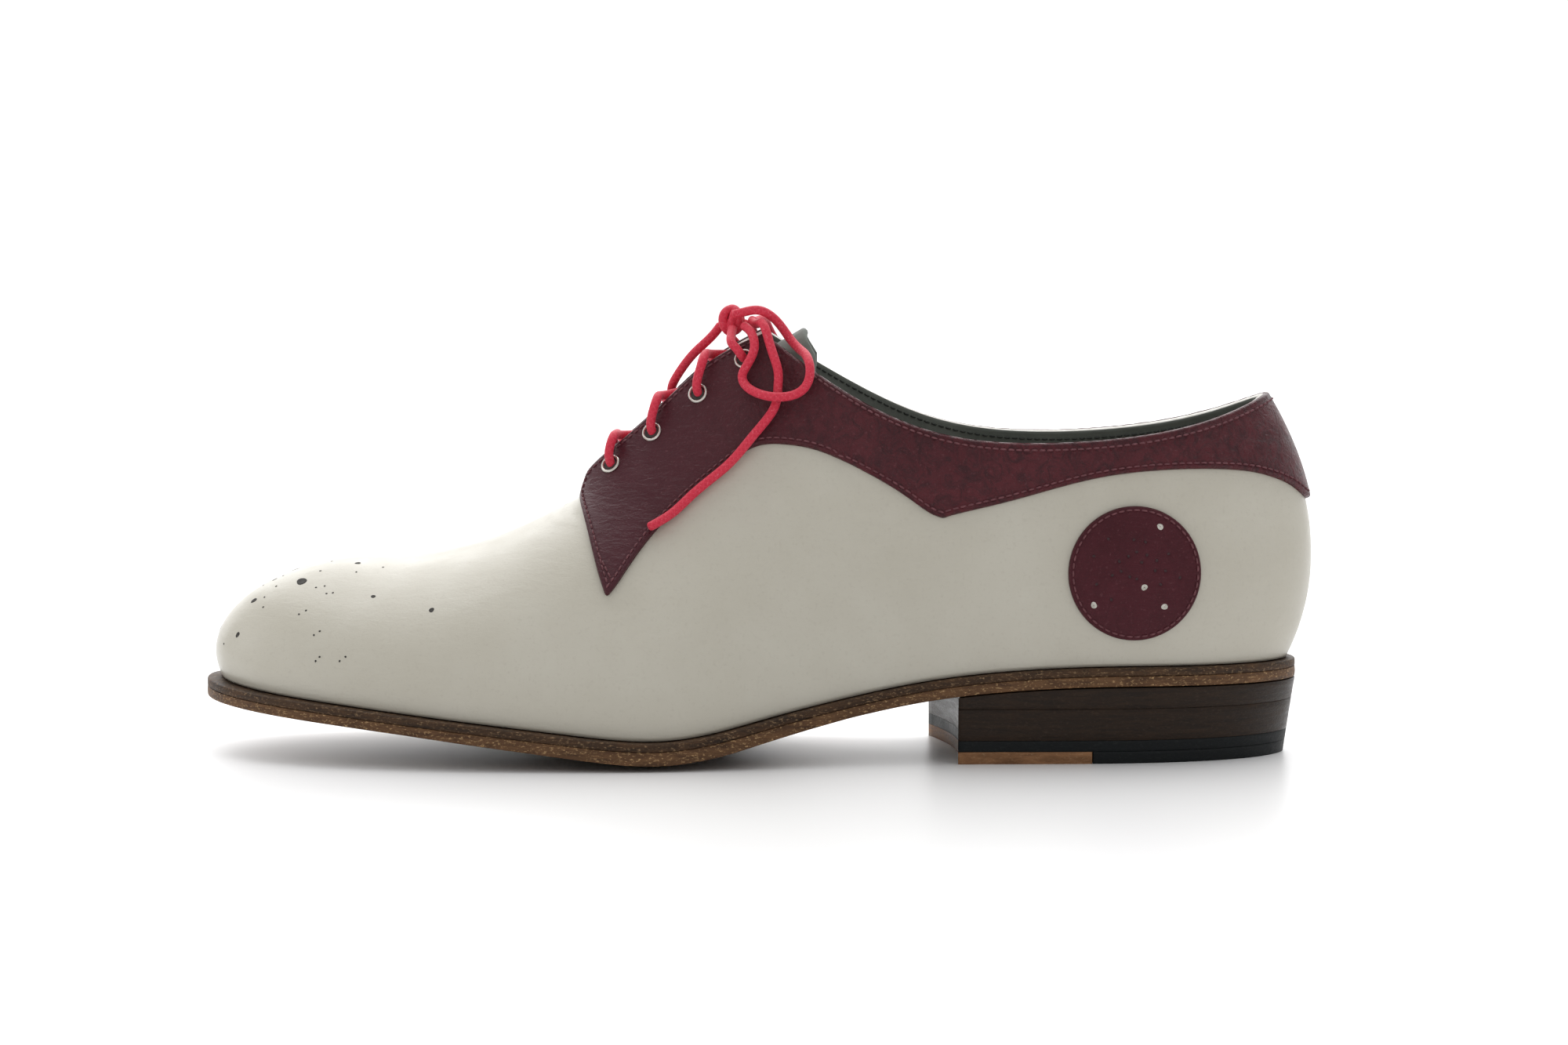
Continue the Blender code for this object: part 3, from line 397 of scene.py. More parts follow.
WELT_LOOK, SOLE_LOOK, STACK_LOOK, TAN_LOOK, RUBBER_LOOK = (make_sole_leather(*tones) for tones in (
    ("dark_welt", (0.020, 0.011, 0.006), (0.078, 0.040, 0.019), (0.34, 0.22, 0.12), 5, 0.75, 0.55),
    ("sole_leather", (0.055, 0.025, 0.011), (0.150, 0.076, 0.034), (0.52, 0.33, 0.16), 6, 0.9, 0.5),
    ("stacked_leather", (0.010, 0.005, 0.0024), (0.026, 0.0135, 0.0066), (0.09, 0.06, 0.04), 9, 0.22, 0.36),
    ("tan_leather", (0.13, 0.060, 0.025), (0.28, 0.14, 0.065), (0.42, 0.27, 0.15), 6, 0.4, 0.55),
    ("black_rubber", (0.0015, 0.0025, 0.003), (0.004, 0.006, 0.0068), (0.04, 0.045, 0.045), 2, 0.25, 0.5)))
METAL_LOOK = make_plain("eyelet_metal", (0.50, 0.47, 0.42), (0.78, 0.75, 0.70), 500, 0.30, 0.00006,
                        Metallic=0.85)
print("made sole, heel and metal")


# %% [markdown]
# ## Waxed cotton
# The lace is a round braid. Each lace carries its own UV map: U counts diameters along it and V goes
# once round. Two sets of slanting lines cross in that map as the carriers of a braid do, and whole
# numbers of turns keep the pattern closed at the seam. Sheen stands for the fuzz of the cotton.

# %% Lace material
BRAID_ALONG = 1.6
BRAID_ROUND = 4.0


def make_lace_look():
    """Crimson, lighter where the larger of two slanting sines is high: painted highlight on the braid's
    crowns and painted shade in its grooves, with pale and dark flecks.
    """
    look = new_look("waxed_cotton", Roughness=0.58, Sheen_Weight=0.16, Sheen_Roughness=0.4,
                    Sheen_Tint=(1.0, 0.45, 0.52, 1), Specular_IOR_Level=0.35)
    uv = wire(look, "UVMap", uv_map="UVMap")
    along = wire(look, "SeparateXYZ", {0: uv}, output=0)
    around = wire(look, "SeparateXYZ", {0: uv}, output=1)
    lines = []
    for turn in (BRAID_ROUND, -BRAID_ROUND):
        phase = sums(look, "ADD", sums(look, "MULTIPLY", along, BRAID_ALONG),
                     sums(look, "MULTIPLY", around, turn))
        lines.append(wire(look, "Math", {0: sums(look, "MULTIPLY", phase, 2 * math.pi)}, operation="SINE"))
    braid = sums(look, "MAXIMUM", lines[0], lines[1])
    place = here(look)
    flecks = noise(look, place, 1900, 3, 0.7)
    # painted light and shade of the braid: crowns lighter, grooves darker
    tone = ramp(look, braid, (0.0, (0.585, 0.020, 0.050)), (0.6, (0.625, 0.026, 0.058)),
                (1.0, (0.65, 0.032, 0.066)))
    tone = mix(look, span(look, flecks, 0.56, 0.72, 0, 0.55), tone, (0.80, 0.22, 0.28))
    dark = noise(look, here(look, (1.1, 0.9, 1)), 1500, 3, 0.7)
    tone = mix(look, span(look, dark, 0.60, 0.74, 0, 0.35), tone, (0.22, 0.02, 0.03))
    feed(look, "Base Color", tone)
    fuzz = bump(look, noise(look, place, 3200, 3, 0.7), 0.5, 0.00015)
    feed(look, "Normal", bump(look, braid, 0.05, 0.0001, fuzz))
    return look


LACE_LOOK = make_lace_look()
print("made", LACE_LOOK.name)

# %% [markdown]
# ## The bow
# A derby is closed with one lace, tied in a bow above the throat. Each loop and each end is a free
# cord of its own, which leaves the knot and hangs over the side of the tongue. The routes are read
# from the photograph where it shows them. They are the same points as in the solid model, made smooth
# by a spline. A circle carried along them makes the tube, and its radius swells where the braid crosses.

# %% Tubes of lace
LACE = 0.0025
LACE_SIDES = 18
LACE_STEP = 0.00042
BRAID_SWELL = 0.006
TIP = ((0.0, 0.0), (0.10, 0.62), (0.24, 0.86), (0.45, 0.97))  # way in and width, in radii


def lace_frame(points):
    """Two directions across a line: the normal of its own plane less its part along, and their cross."""
    tangent = np.gradient(points, axis=0)
    tangent /= np.linalg.norm(tangent, axis=1, keepdims=True)
    flat = np.linalg.svd(points - points.mean(axis=0))[2][2]
    one = flat - (tangent @ flat)[:, None] * tangent
    one /= np.linalg.norm(one, axis=1, keepdims=True)
    return one, np.cross(tangent, one)


def softened(points, reach=5):
    """Weighted mean of each point and its neighbours; the line is turned over at its ends to keep them."""
    weight = np.hanning(2 * reach + 3)[1:-1]
    weight /= weight.sum()
    longer = np.concatenate([2 * points[0] - points[reach:0:-1], points,
                             2 * points[-1] - points[-2:-reach - 2:-1]])
    return np.stack([np.convolve(longer[:, axis], weight, "valid") for axis in range(3)], axis=-1)


def lace_grid(route, diameter=LACE):
    """Circle carried along the route: radius times one plus the braid's swell, closed at both tips."""
    points = softened(smooth_line(route, LACE_STEP))
    length = line_length(points)
    tips = np.array(TIP) * (diameter / 2, 1)
    end = tips[-1, 0] + LACE_STEP / 3
    inside = (length > end) & (length < length[-1] - end)
    line = np.concatenate([at_lengths(points, tips[:, 0]), points[inside],
                           at_lengths(points, length[-1] - tips[::-1, 0])])
    radius = np.concatenate([tips[:, 1], np.ones(inside.sum()), tips[::-1, 1]]) * diameter / 2
    one, two = lace_frame(line)
    around = np.linspace(0, 1, LACE_SIDES + 1)[None, :]
    along = line_length(line)[:, None] / diameter
    swell = np.max([np.sin(2 * np.pi * (BRAID_ALONG * along + turn * around))
                    for turn in (BRAID_ROUND, -BRAID_ROUND)], axis=0)
    thick = (radius[:, None] * (1 + BRAID_SWELL * (swell - 1)))[..., None]
    angle = 2 * np.pi * around[..., None]
    grid = line[:, None] + thick * (np.cos(angle) * one[:, None] + np.sin(angle) * two[:, None])
    uv = np.stack(np.broadcast_arrays(along, around), axis=-1)
    return grid, uv, points


def make_lace_piece(name, routes, stands_for, diameter=LACE):
    """One piece of lace, of one or more runs."""
    grids = [lace_grid(route, diameter) for route in routes]
    sizes = np.cumsum([0] + [grid.shape[0] * grid.shape[1] for grid, _, _ in grids])
    faces = np.concatenate([quads(*grid.shape[:2], start) for (grid, _, _), start in zip(grids, sizes)])
    points = np.concatenate([grid.reshape(-1, 3) for grid, _, _ in grids])
    uv = np.concatenate([one.reshape(-1, 2) for _, one, _ in grids])
    piece = make_piece(name, points, faces, LACE_LOOK, stands_for, uv=uv)
    return piece, grids[0][2]


print("lace of", LACE / MM, "mm")

# %% Routes of the free runs, in millimetres from the knot outward
LOOP_LATERAL = (
    (-7.5, -5.9, 120.3), (-4.0, -6.4, 121.1), (0.3, -7.3, 121.5), (4.9, -7.3, 118.3), (8.1, -7.5, 113.9),
    (10.9, -11.0, 111.0), (12.6, -15.6, 109.6), (13.6, -20.2, 107.0), (13.5, -21.5, 103.7),
    (12.1, -21.9, 100.9), (9.2, -22.3, 99.1), (4.9, -23.0, 98.6), (0.4, -20.9, 99.2), (-3.4, -17.4, 101.0),
    (-4.9, -15.4, 103.8), (-3.7, -15.3, 106.5), (-2.0, -14.4, 109.6), (-1.4, -13.0, 112.6),
    (-2.4, -10.3, 115.7), (-4.6, -6.9, 117.4),
)
END_LATERAL = (
    (-2.5, -2.0, 118.6), (-1.0, -5.2, 117.7), (0.9, -10.4, 117.9), (2.5, -13.4, 113.4), (4.1, -15.8, 108.5),
    (5.1, -17.3, 104.6), (4.9, -18.9, 100.4), (4.0, -20.9, 95.6), (0.2, -22.0, 90.4), (-3.0, -22.8, 86.6),
    (-7.7, -23.0, 81.1), (-13.2, -23.2, 76.4), (-18.6, -24.3, 71.9), (-23.7, -26.2, 67.3),
    (-30.0, -29.3, 63.7),
)
LOOP_MEDIAL = (
    (-10.6, 4.6, 117.4), (-13.6, 5.0, 113.6), (-18.1, 5.0, 109.4), (-22.0, 6.9, 104.4), (-24.6, 9.9, 99.4),
    (-23.4, 11.4, 95.7), (-19.6, 14.8, 90.6), (-14.1, 18.0, 87.1), (-8.0, 19.8, 87.5), (-2.9, 20.1, 91.0),
    (0.0, 19.1, 96.6), (1.4, 17.2, 102.6), (0.7, 14.9, 108.7), (-1.1, 13.1, 112.7), (-2.4, 10.4, 116.0),
    (-4.6, 6.9, 117.5),
)
END_MEDIAL = (
    (-2.5, 2.0, 118.6), (-1.0, 5.4, 118.1), (1.0, 10.5, 118.3), (2.6, 14.2, 115.2), (4.4, 15.2, 111.9),
    (5.9, 16.3, 108.5), (6.8, 17.8, 104.6), (6.4, 19.5, 99.6), (5.3, 21.0, 94.5), (2.8, 22.0, 89.7),
    (-0.7, 21.6, 85.3), (-5.0, 21.3, 80.5), (-10.0, 21.4, 76.2), (-14.9, 22.1, 71.7), (-19.6, 23.2, 67.2),
)
print("routes of", len(LOOP_LATERAL), len(END_LATERAL), len(LOOP_MEDIAL), len(END_MEDIAL), "points")

# %% Make the four cords
for name, route, far_end in (("loop_lateral", LOOP_LATERAL, "object"), ("end_lateral", END_LATERAL, "bare"),
                             ("loop_medial", LOOP_MEDIAL, "object"), ("end_medial", END_MEDIAL, "bare")):
    route = np.array(route) * MM
    cord, path = make_lace_piece("bow_" + name, [route], ["lace_" + name])

# %% [markdown]
# ## The last
# A shoemaker starts with the last, the wooden form of the foot, and everything else is drawn on it.
# Here the last is three short tables: the feather line, where upper and sole meet, the top line, where
# the upper ends, and the bend of the ribs between them. Seventeen rows go from the toe tip to the heel.
# A cubic spline runs through the rows, so a grid of any fineness can be read from so few numbers.

# %% Sizes of the last and of the layers
LAST_LENGTH = 0.294
BALL_WIDTH = 0.098
LAST_SHIFT = -0.0018
TOE_SPRING = 0.0134
HEEL_RISE = 0.0183
INSTEP_HEIGHT = 0.1145
BACK_HEIGHT = 0.0984
ARCH_LIFT = 0.0030
COLLAR_LIFT = 0.0020
WELT = 0.0022
SOLE_BALL = 0.0035
EDGE_LIFT = 0.0017

FEATHER_COLUMNS = ("share", "lateral", "medial", "rise")
FEATHER = np.array((
    (0.000, -0.060, 0.060, 0.930),
    (0.008, 0.080, 0.200, 0.900),
    (0.032, 0.195, 0.300, 0.830),
    (0.074, 0.300, 0.380, 0.730),
    (0.142, 0.395, 0.440, 0.580),
    (0.231, 0.463, 0.482, 0.366),
    (0.329, 0.495, 0.480, 0.127),
    (0.424, 0.490, 0.415, 0.000),
    (0.510, 0.430, 0.345, 0.275),
    (0.588, 0.375, 0.312, 0.570),
    (0.666, 0.347, 0.307, 0.810),
    (0.744, 0.340, 0.312, 0.945),
    (0.819, 0.335, 0.318, 1.000),
    (0.887, 0.305, 0.300, 1.000),
    (0.945, 0.235, 0.240, 0.995),
    (0.984, 0.130, 0.140, 0.990),
    (1.000, 0.000, 0.000, 0.990),
))
TOP_COLUMNS = ("share", "centre", "half", "height")
TOP_LINE = np.array((
    (0.125, 0.045, 0.000, 0.461),
    (0.130, 0.044, 0.000, 0.462),
    (0.144, 0.041, 0.000, 0.462),
    (0.169, 0.035, 0.000, 0.464),
    (0.210, 0.025, 0.000, 0.480),
    (0.268, 0.012, 0.000, 0.523),
    (0.336, 0.000, 0.000, 0.608),
    (0.353, 0.000, 0.051, 0.686),
    (0.401, 0.000, 0.056, 0.797),
    (0.455, 0.000, 0.061, 0.926),
    (0.511, 0.000, 0.077, 1.005),
    (0.581, 0.000, 0.214, 1.024),
    (0.669, 0.000, 0.281, 0.907),
    (0.771, 0.000, 0.286, 0.878),
    (0.870, 0.000, 0.250, 0.902),
    (0.941, 0.000, 0.153, 0.955),
    (0.9765, 0.000, 0.000, 1.000),
))
RIB_COLUMNS = ("low_out", "low_up", "high_run", "high_out", "high_down")
RIB = np.array((
    (0.088, 0.500, 0.74, 0.00, 0.00),
    (0.080, 0.495, 0.73, 0.00, 0.00),
    (0.064, 0.480, 0.70, 0.00, 0.00),
    (0.050, 0.460, 0.65, 0.00, 0.00),
    (0.040, 0.430, 0.58, 0.00, 0.00),
    (0.036, 0.420, 0.56, 0.00, 0.00),
    (0.036, 0.400, 0.52, 0.00, 0.00),
    (0.040, 0.370, 0.36, 0.02, 0.11),
    (0.045, 0.360, 0.30, 0.04, 0.17),
    (0.050, 0.360, 0.20, 0.08, 0.20),
    (0.055, 0.360, 0.15, 0.10, 0.22),
    (0.055, 0.360, 0.15, 0.05, 0.25),
    (0.050, 0.380, 0.20, 0.02, 0.30),
    (0.050, 0.380, 0.20, 0.03, 0.32),
    (0.058, 0.330, 0.20, 0.06, 0.34),
    (0.072, 0.270, 0.15, 0.12, 0.38),
    (0.088, 0.220, 0.00, 0.19, 0.42),
))
LAST_ROW = len(FEATHER) - 1
LOOP_LENGTH = 2 * LAST_ROW
BALL_ROW = 7
ARCH_ROW = 9.2
COLLAR_LIFT_ROW = 11.2
LIFT_SPREAD = 1.3
THROAT_ROW = 6
CORNER_ROW = 10
LAYERS_UNDER = 2 * GAP + WELT
BALL_HEIGHT = LAYERS_UNDER + SOLE_BALL + EDGE_LIFT
SIDES = ("lateral", "medial")
print("last of", LAST_ROW + 1, "rows,", LAST_LENGTH, "m long")

# %% [markdown]
# ## From tables to lines
# A spline is a smooth line through given values. Three stretches are joined for the top line, because
# the throat and the collar of a derby really start with a corner. The feather line is one closed loop.

# %% Splines, feather line and top line
def column(table, columns, name):
    """One column of a table, by its name."""
    return table[:, columns.index(name)]


def along_last(share):
    """X at a share of the last's length: the share less a half, times the length, plus the shift."""
    return (np.asarray(share) - 0.5) * LAST_LENGTH + LAST_SHIFT


def loop_values(lateral, medial):
    """Values once round: the outer side to the heel, then the inner side back."""
    return np.concatenate([lateral, medial[-2:0:-1]])


def feather(place, spread=0.0):
    """Feather line: a closed spline of x, y and z, moved sideways along its own normal in plan."""
    place = np.asarray(place, float)
    share = column(FEATHER, FEATHER_COLUMNS, "share")
    lateral = column(FEATHER, FEATHER_COLUMNS, "lateral") * BALL_WIDTH
    medial = column(FEATHER, FEATHER_COLUMNS, "medial") * BALL_WIDTH
    row = np.arange(LAST_ROW + 1)
    rise = column(FEATHER, FEATHER_COLUMNS, "rise") * np.where(row < BALL_ROW, TOE_SPRING, HEEL_RISE)
    height = BALL_HEIGHT + rise
    arch = ARCH_LIFT * np.exp(-(((row - ARCH_ROW) / LIFT_SPREAD) ** 2))
    lines = (
        loop_values(along_last(share), along_last(share)),
        loop_values(-lateral, medial),
        loop_values(height, height + arch),
    )
    step = 0.01
    along = spline(lines[0], place + step, True) - spline(lines[0], place - step, True)
    aside = spline(lines[1], place + step, True) - spline(lines[1], place - step, True)
    length = np.hypot(along, aside)
    out = np.stack([aside / length, -along / length, np.zeros_like(along)], axis=-1)
    base = np.stack([spline(values, place, True) for values in lines], axis=-1)
    return base + out * np.asarray(spread)[..., None], out


def side_place(row, side):
    """Place on the loop: the row, or the loop's length less the row on the inner side."""
    return np.asarray(row, float) if side == "lateral" else LOOP_LENGTH - np.asarray(row, float)


def by_stretch(values, row, sign=1):
    """Spline in three stretches. At toe and heel it runs on into its mirror image, so both stay round."""
    result = np.zeros_like(row)
    ahead = np.concatenate([sign * values[THROAT_ROW:0:-1], values[:THROAT_ROW + 1]])
    behind = np.concatenate([values[CORNER_ROW:], sign * values[LAST_ROW - 1:CORNER_ROW - 1:-1]])
    vamp = row <= THROAT_ROW
    collar = row >= CORNER_ROW
    throat = ~vamp & ~collar
    result[vamp] = spline(ahead, row[vamp] + THROAT_ROW)
    result[throat] = spline(values[THROAT_ROW:CORNER_ROW + 1], row[throat] - THROAT_ROW)
    result[collar] = spline(behind, row[collar] - CORNER_ROW)
    return result


def top_line(row, side):
    """Top line: ridge of the vamp, then the throat's edge, then the collar, as x, y and z."""
    share = by_stretch(column(TOP_LINE, TOP_COLUMNS, "share"), row)
    centre = by_stretch(column(TOP_LINE, TOP_COLUMNS, "centre"), row) * BALL_WIDTH
    half = by_stretch(column(TOP_LINE, TOP_COLUMNS, "half"), row, -1) * BALL_WIDTH
    index = np.arange(LAST_ROW + 1)
    base = np.where(index <= CORNER_ROW, INSTEP_HEIGHT, BACK_HEIGHT)
    height = by_stretch(column(TOP_LINE, TOP_COLUMNS, "height") * base, row)
    outward = -1 if side == "lateral" else 1
    lift = COLLAR_LIFT * np.exp(-(((row - COLLAR_LIFT_ROW) / LIFT_SPREAD) ** 2)) * (side == "medial")
    level = height + lift * np.clip(row - THROAT_ROW, 0, 1)
    return np.stack([along_last(share), centre + outward * half, level], axis=-1)


print("throat corner at", np.round(top_line(np.array([10.0]), "lateral")[0], 4))

# %% [markdown]
# ## The skin of the upper
# Between feather and top line, the leather follows ribs: each is a Bezier curve that leaves the feather
# outward and arrives at the top along the slope of the vamp. The ribs are read at even steps of their
# own length, which gives one fine grid for each side. Every overlay, stitch and lace is placed on it.

# %% Ribs
ROWS_PER_STEP = 40
UPS = 201
BEZIER_STEPS = 161
TOE_ROUND = 0.5


def rib_skin(side):
    """Bezier ribs read at even shares of their length: a grid of rows by ups by x, y, z.

    The upper ends of the first ribs start slowly, row times one less exp of minus row over TOE_ROUND,
    so that both sides meet at the middle of the toe without a ridge."""
    row = np.linspace(0, LAST_ROW, LAST_ROW * ROWS_PER_STEP + 1)
    foot, out = feather(side_place(row, side))
    row = row * (1 - np.exp(-row / TOE_ROUND))
    top = top_line(row, side)
    shape = {name: spline(column(RIB, RIB_COLUMNS, name), row)[:, None] for name in RIB_COLUMNS}
    rise = np.zeros_like(foot)
    rise[:, 2] = top[:, 2] - foot[:, 2]
    run = foot - top
    run[:, 2] = 0
    low = foot + out * shape["low_out"] * BALL_WIDTH + rise * shape["low_up"]
    high = top + run * shape["high_run"] + out * shape["high_out"] * BALL_WIDTH - rise * shape["high_down"]
    step = 0.02
    ahead = top_line(np.minimum(row + step, THROAT_ROW), side)
    ahead = ahead - top_line(np.minimum(row, THROAT_ROW - step), side)
    ridge = row <= THROAT_ROW
    high[ridge, 2] += (ahead[:, 2] / ahead[:, 0] * (high[:, 0] - top[:, 0]))[ridge]
    fine = np.linspace(0, 1, BEZIER_STEPS)[None, :, None]
    curve = ((1 - fine) ** 3 * foot[:, None] + 3 * fine * (1 - fine) ** 2 * low[:, None]
             + 3 * fine**2 * (1 - fine) * high[:, None] + fine**3 * top[:, None])
    length = np.concatenate([np.zeros((len(row), 1)),
                             np.cumsum(np.linalg.norm(np.diff(curve, axis=1), axis=2), axis=1)], axis=1)
    wanted = np.linspace(0, 1, UPS)[None, :] * length[:, -1:]
    index = np.clip((length[:, None, :] < wanted[:, :, None]).sum(axis=2) - 1, 0, BEZIER_STEPS - 2)
    before = np.take_along_axis(length, index, axis=1)
    after = np.take_along_axis(length, index + 1, axis=1)
    part = ((wanted - before) / np.maximum(after - before, 1e-12))[..., None]
    lines = np.arange(len(row))[:, None]
    return curve[lines, index] * (1 - part) + curve[lines, index + 1] * part, length[:, -1]


ribs = {side: rib_skin(side) for side in SIDES}
print("ribs of", ribs["lateral"][0].shape[:2], "points a side")

# %% [markdown]
# ## Round toe and creases
# The ribs of both sides meet at the middle of the toe, where leather pulled over the last has no ridge.
# Both sides are therefore joined in one table there and smoothed by a weighted mean. Soft creases are
# then pressed in as troughs along short lines, a fraction of a millimetre deep.

# %% The fine skin
TOE_ROWS = 4  # rows that the smoothing reaches, half of them in full
TOE_UP = 0.4  # share of the rib's length over which it sets in
FULLER = 0.3
# Creases: side, start x and z, end x and z, half width, depth, all in millimetres
CREASES = (
    ("lateral", -17, 74.0, 8, 73.0, 0.8, 0.14),
    ("lateral", -10, 71.0, 13, 70.5, 0.8, 0.16),
    ("lateral", -6, 68.2, 20, 68.4, 0.9, 0.14),
    ("lateral", 2, 65.5, 34, 65.0, 0.9, 0.16),
    ("lateral", 12, 62.4, 40, 61.5, 1.0, 0.12),
    ("lateral", -20, 63.0, -2, 62.0, 1.0, 0.10),
    ("lateral", 20, 72.0, 36, 70.0, 0.9, 0.10),
    ("lateral", 6, 110.0, 9, 87.0, 2.2, 0.38),
    ("lateral", 4, 80.0, -9, 64.0, 4.0, 0.40),
    ("lateral", -36, 79.0, -30, 66.0, 1.5, 0.12),
    ("lateral", -41, 74.0, -30, 72.0, 1.1, 0.14),
    ("lateral", -40, 71.0, -26, 69.0, 1.1, 0.14),
    ("lateral", -38, 67.5, -24, 66.5, 1.1, 0.12),
    ("lateral", -60, 66.5, -54, 60.5, 0.8, 0.18),
    ("lateral", -57, 68.0, -51, 61.5, 0.8, 0.18),
    ("lateral", -54, 69.0, -49, 64.0, 0.7, 0.14),
    ("lateral", -46, 45.0, -28, 38.0, 2.6, 0.20),
    ("medial", -60, 66.5, -54, 60.5, 0.8, 0.18),
    ("medial", -57, 68.0, -51, 61.5, 0.8, 0.18),
    ("medial", -14, 72.0, 12, 71.0, 0.9, 0.15),
    ("medial", -4, 67.5, 22, 67.0, 0.9, 0.15),
    ("medial", 6, 63.5, 34, 62.5, 0.9, 0.12),
)


def skin_normals(grid, side):
    """Outward unit normals: the cross product of the grid's two directions."""
    normal = np.cross(np.gradient(grid, axis=0), np.gradient(grid, axis=1))
    normal = normal if side == "lateral" else -normal
    return normal / np.maximum(np.linalg.norm(normal, axis=2, keepdims=True), 1e-12)


def crease_depth(grid, side):
    """Sum of troughs: each falls off as a bell with the distance from its line, and fades at its ends."""
    depth = np.zeros(grid.shape[:2])
    x, z = grid[..., 0] / MM, grid[..., 2] / MM
    for name, x0, z0, x1, z1, half, deep in CREASES:
        if name != side:
            continue
        along = np.array([x1 - x0, z1 - z0], float)
        length = np.hypot(*along)
        share = ((x - x0) * along[0] + (z - z0) * along[1]) / length**2
        wave = 0.6 * half * np.sin(7 * share + x0)
        away = (x - x0) * -along[1] / length + (z - z0) * along[0] / length - wave
        fade = np.clip(share * 4, 0, 1) * np.clip((1 - share) * 4, 0, 1)
        bell = np.exp(-((away / half) ** 2)) - 0.45 * np.exp(-(((away - 1.9 * half) / half) ** 2))
        depth += deep * MM * fade * bell
    return depth


def blurred(grid, reach):
    """Mean over neighbours along both directions of the grid, weighted by a Hann window."""
    for axis in (0, 1):
        weight = np.hanning(2 * reach[axis] + 3)[1:-1]
        weight /= weight.sum()
        space = [(0, 0)] * 3
        space[axis] = (reach[axis], reach[axis])
        longer = np.pad(grid, space, mode="reflect", reflect_type="odd")
        count = grid.shape[axis]
        grid = sum(share * longer.take(range(at, at + count), axis) for at, share in enumerate(weight))
    return grid


def eased(share):
    """Share held between 0 and 1 that starts and ends softly: its square times three less twice itself."""
    share = np.clip(share, 0, 1)
    return share**2 * (3 - 2 * share)


def round_toe(near, far):
    """Both sides in one table that goes on past the middle line, so the toe is smoothed as one piece.

    The mean of the neighbours takes the ridge and the peak away. A share of what a second mean would
    take off is added back, which keeps the toe full."""
    last = TOE_ROWS * ROWS_PER_STEP
    joined = np.concatenate([near[:last], far[:last, -2::-1]], axis=1)
    whole = np.concatenate([joined[:0:-1, ::-1], joined])
    reach = (int(1.5 * ROWS_PER_STEP), UPS // 5)
    mean = blurred(whole, reach)
    smooth = ((1 + FULLER) * mean - FULLER * blurred(mean, reach))[last - 1:]
    row = eased(2 - 2 * np.arange(last) / last)
    up = eased(np.linspace(0, 1, UPS) / TOE_UP)
    share = row[:, None, None] * up[None, :, None]
    for grid, new in ((near, smooth[:, :UPS]), (far, smooth[:, ::-1][:, :UPS])):
        grid[:last] += share * (new - grid[:last])


SKIN = {}
RIB_LENGTH = {}
round_toe(ribs["lateral"][0], ribs["medial"][0])
for side in SIDES:
    grid, RIB_LENGTH[side] = ribs[side]
    grid = grid - skin_normals(grid, side) * crease_depth(grid, side)[..., None]
    SKIN[side] = (grid, skin_normals(grid, side))
print("skin of", SKIN["lateral"][0].shape[:2], "points a side")


# %% Read any point of the skin
def on_skin(side, row, up, lift=0.0):
    """Mix of the four nearest grid points, raised along the mixed normal."""
    points, normals = SKIN[side]
    across = np.clip(np.asarray(row, float) * ROWS_PER_STEP, 0, points.shape[0] - 1.0001)
    climb = np.clip(np.asarray(up, float) * (UPS - 1), 0, UPS - 1.0001)
    i, j = across.astype(int), climb.astype(int)
    s, t = (across - i)[..., None], (climb - j)[..., None]

    def read(grid):
        """Mix of four points by the two shares."""
        return ((1 - s) * (1 - t) * grid[i, j] + s * (1 - t) * grid[i + 1, j]
                + (1 - s) * t * grid[i, j + 1] + s * t * grid[i + 1, j + 1])

    normal = read(normals)
    normal = normal / np.linalg.norm(normal, axis=-1, keepdims=True)
    return read(points) + normal * np.asarray(lift)[..., None]


def skin_normal(side, row, up):
    """The point raised by one, less the point."""
    return on_skin(side, row, up, 1.0) - on_skin(side, row, up)


def rib_length(side, row):
    """Length of the rib at a row, by a straight mix."""
    return np.interp(row, np.arange(len(RIB_LENGTH[side])) / ROWS_PER_STEP, RIB_LENGTH[side])


def place_of(side, x, z):
    """Row and up of points given from the side: the nearest grid point, then a few Newton steps."""
    x, z = np.asarray(x, float).ravel(), np.asarray(z, float).ravel()
    coarse = SKIN[side][0][::10, ::5]
    flat = coarse.reshape(-1, 3)
    best = ((x[:, None] - flat[:, 0]) ** 2 + (z[:, None] - flat[:, 2]) ** 2).argmin(axis=1)
    row = (best // coarse.shape[1]) * 10 / ROWS_PER_STEP
    up = (best % coarse.shape[1]) * 5 / (UPS - 1)
    for _ in range(8):
        here = on_skin(side, row, up)
        by_row = (on_skin(side, row + 0.02, up) - on_skin(side, row - 0.02, up)) / 0.04
        by_up = (on_skin(side, row, up + 0.01) - on_skin(side, row, up - 0.01)) / 0.02
        turn = by_row[:, 0] * by_up[:, 2] - by_row[:, 2] * by_up[:, 0]
        turn = np.where(np.abs(turn) < 1e-9, 1e-9, turn)
        off_x, off_z = x - here[:, 0], z - here[:, 2]
        row = row + np.clip((off_x * by_up[:, 2] - off_z * by_up[:, 0]) / turn, -0.3, 0.3)
        up = up + np.clip((off_z * by_row[:, 0] - off_x * by_row[:, 2]) / turn, -0.06, 0.06)
        row, up = np.clip(row, 0, LAST_ROW), np.clip(up, 0, 1)
    return row, up


probe = place_of("lateral", [along_last(0.85)], [0.0515])
print("middle of the patch is at row and up", probe)

# %% [markdown]
# ## The body of the upper
# The cream body is one piece of calf without a toe cap. It is the skin itself, read on a mesh of about
# a millimetre and a half, and a Solidify modifier gives it the thickness of leather and lining. The
# modifier puts the lining's finish on the inner faces and the pale raw edge on the rim.

# %% Cream body
WALL = 0.0020
BODY_STEP = 0.00150
BODY_UPS = 88


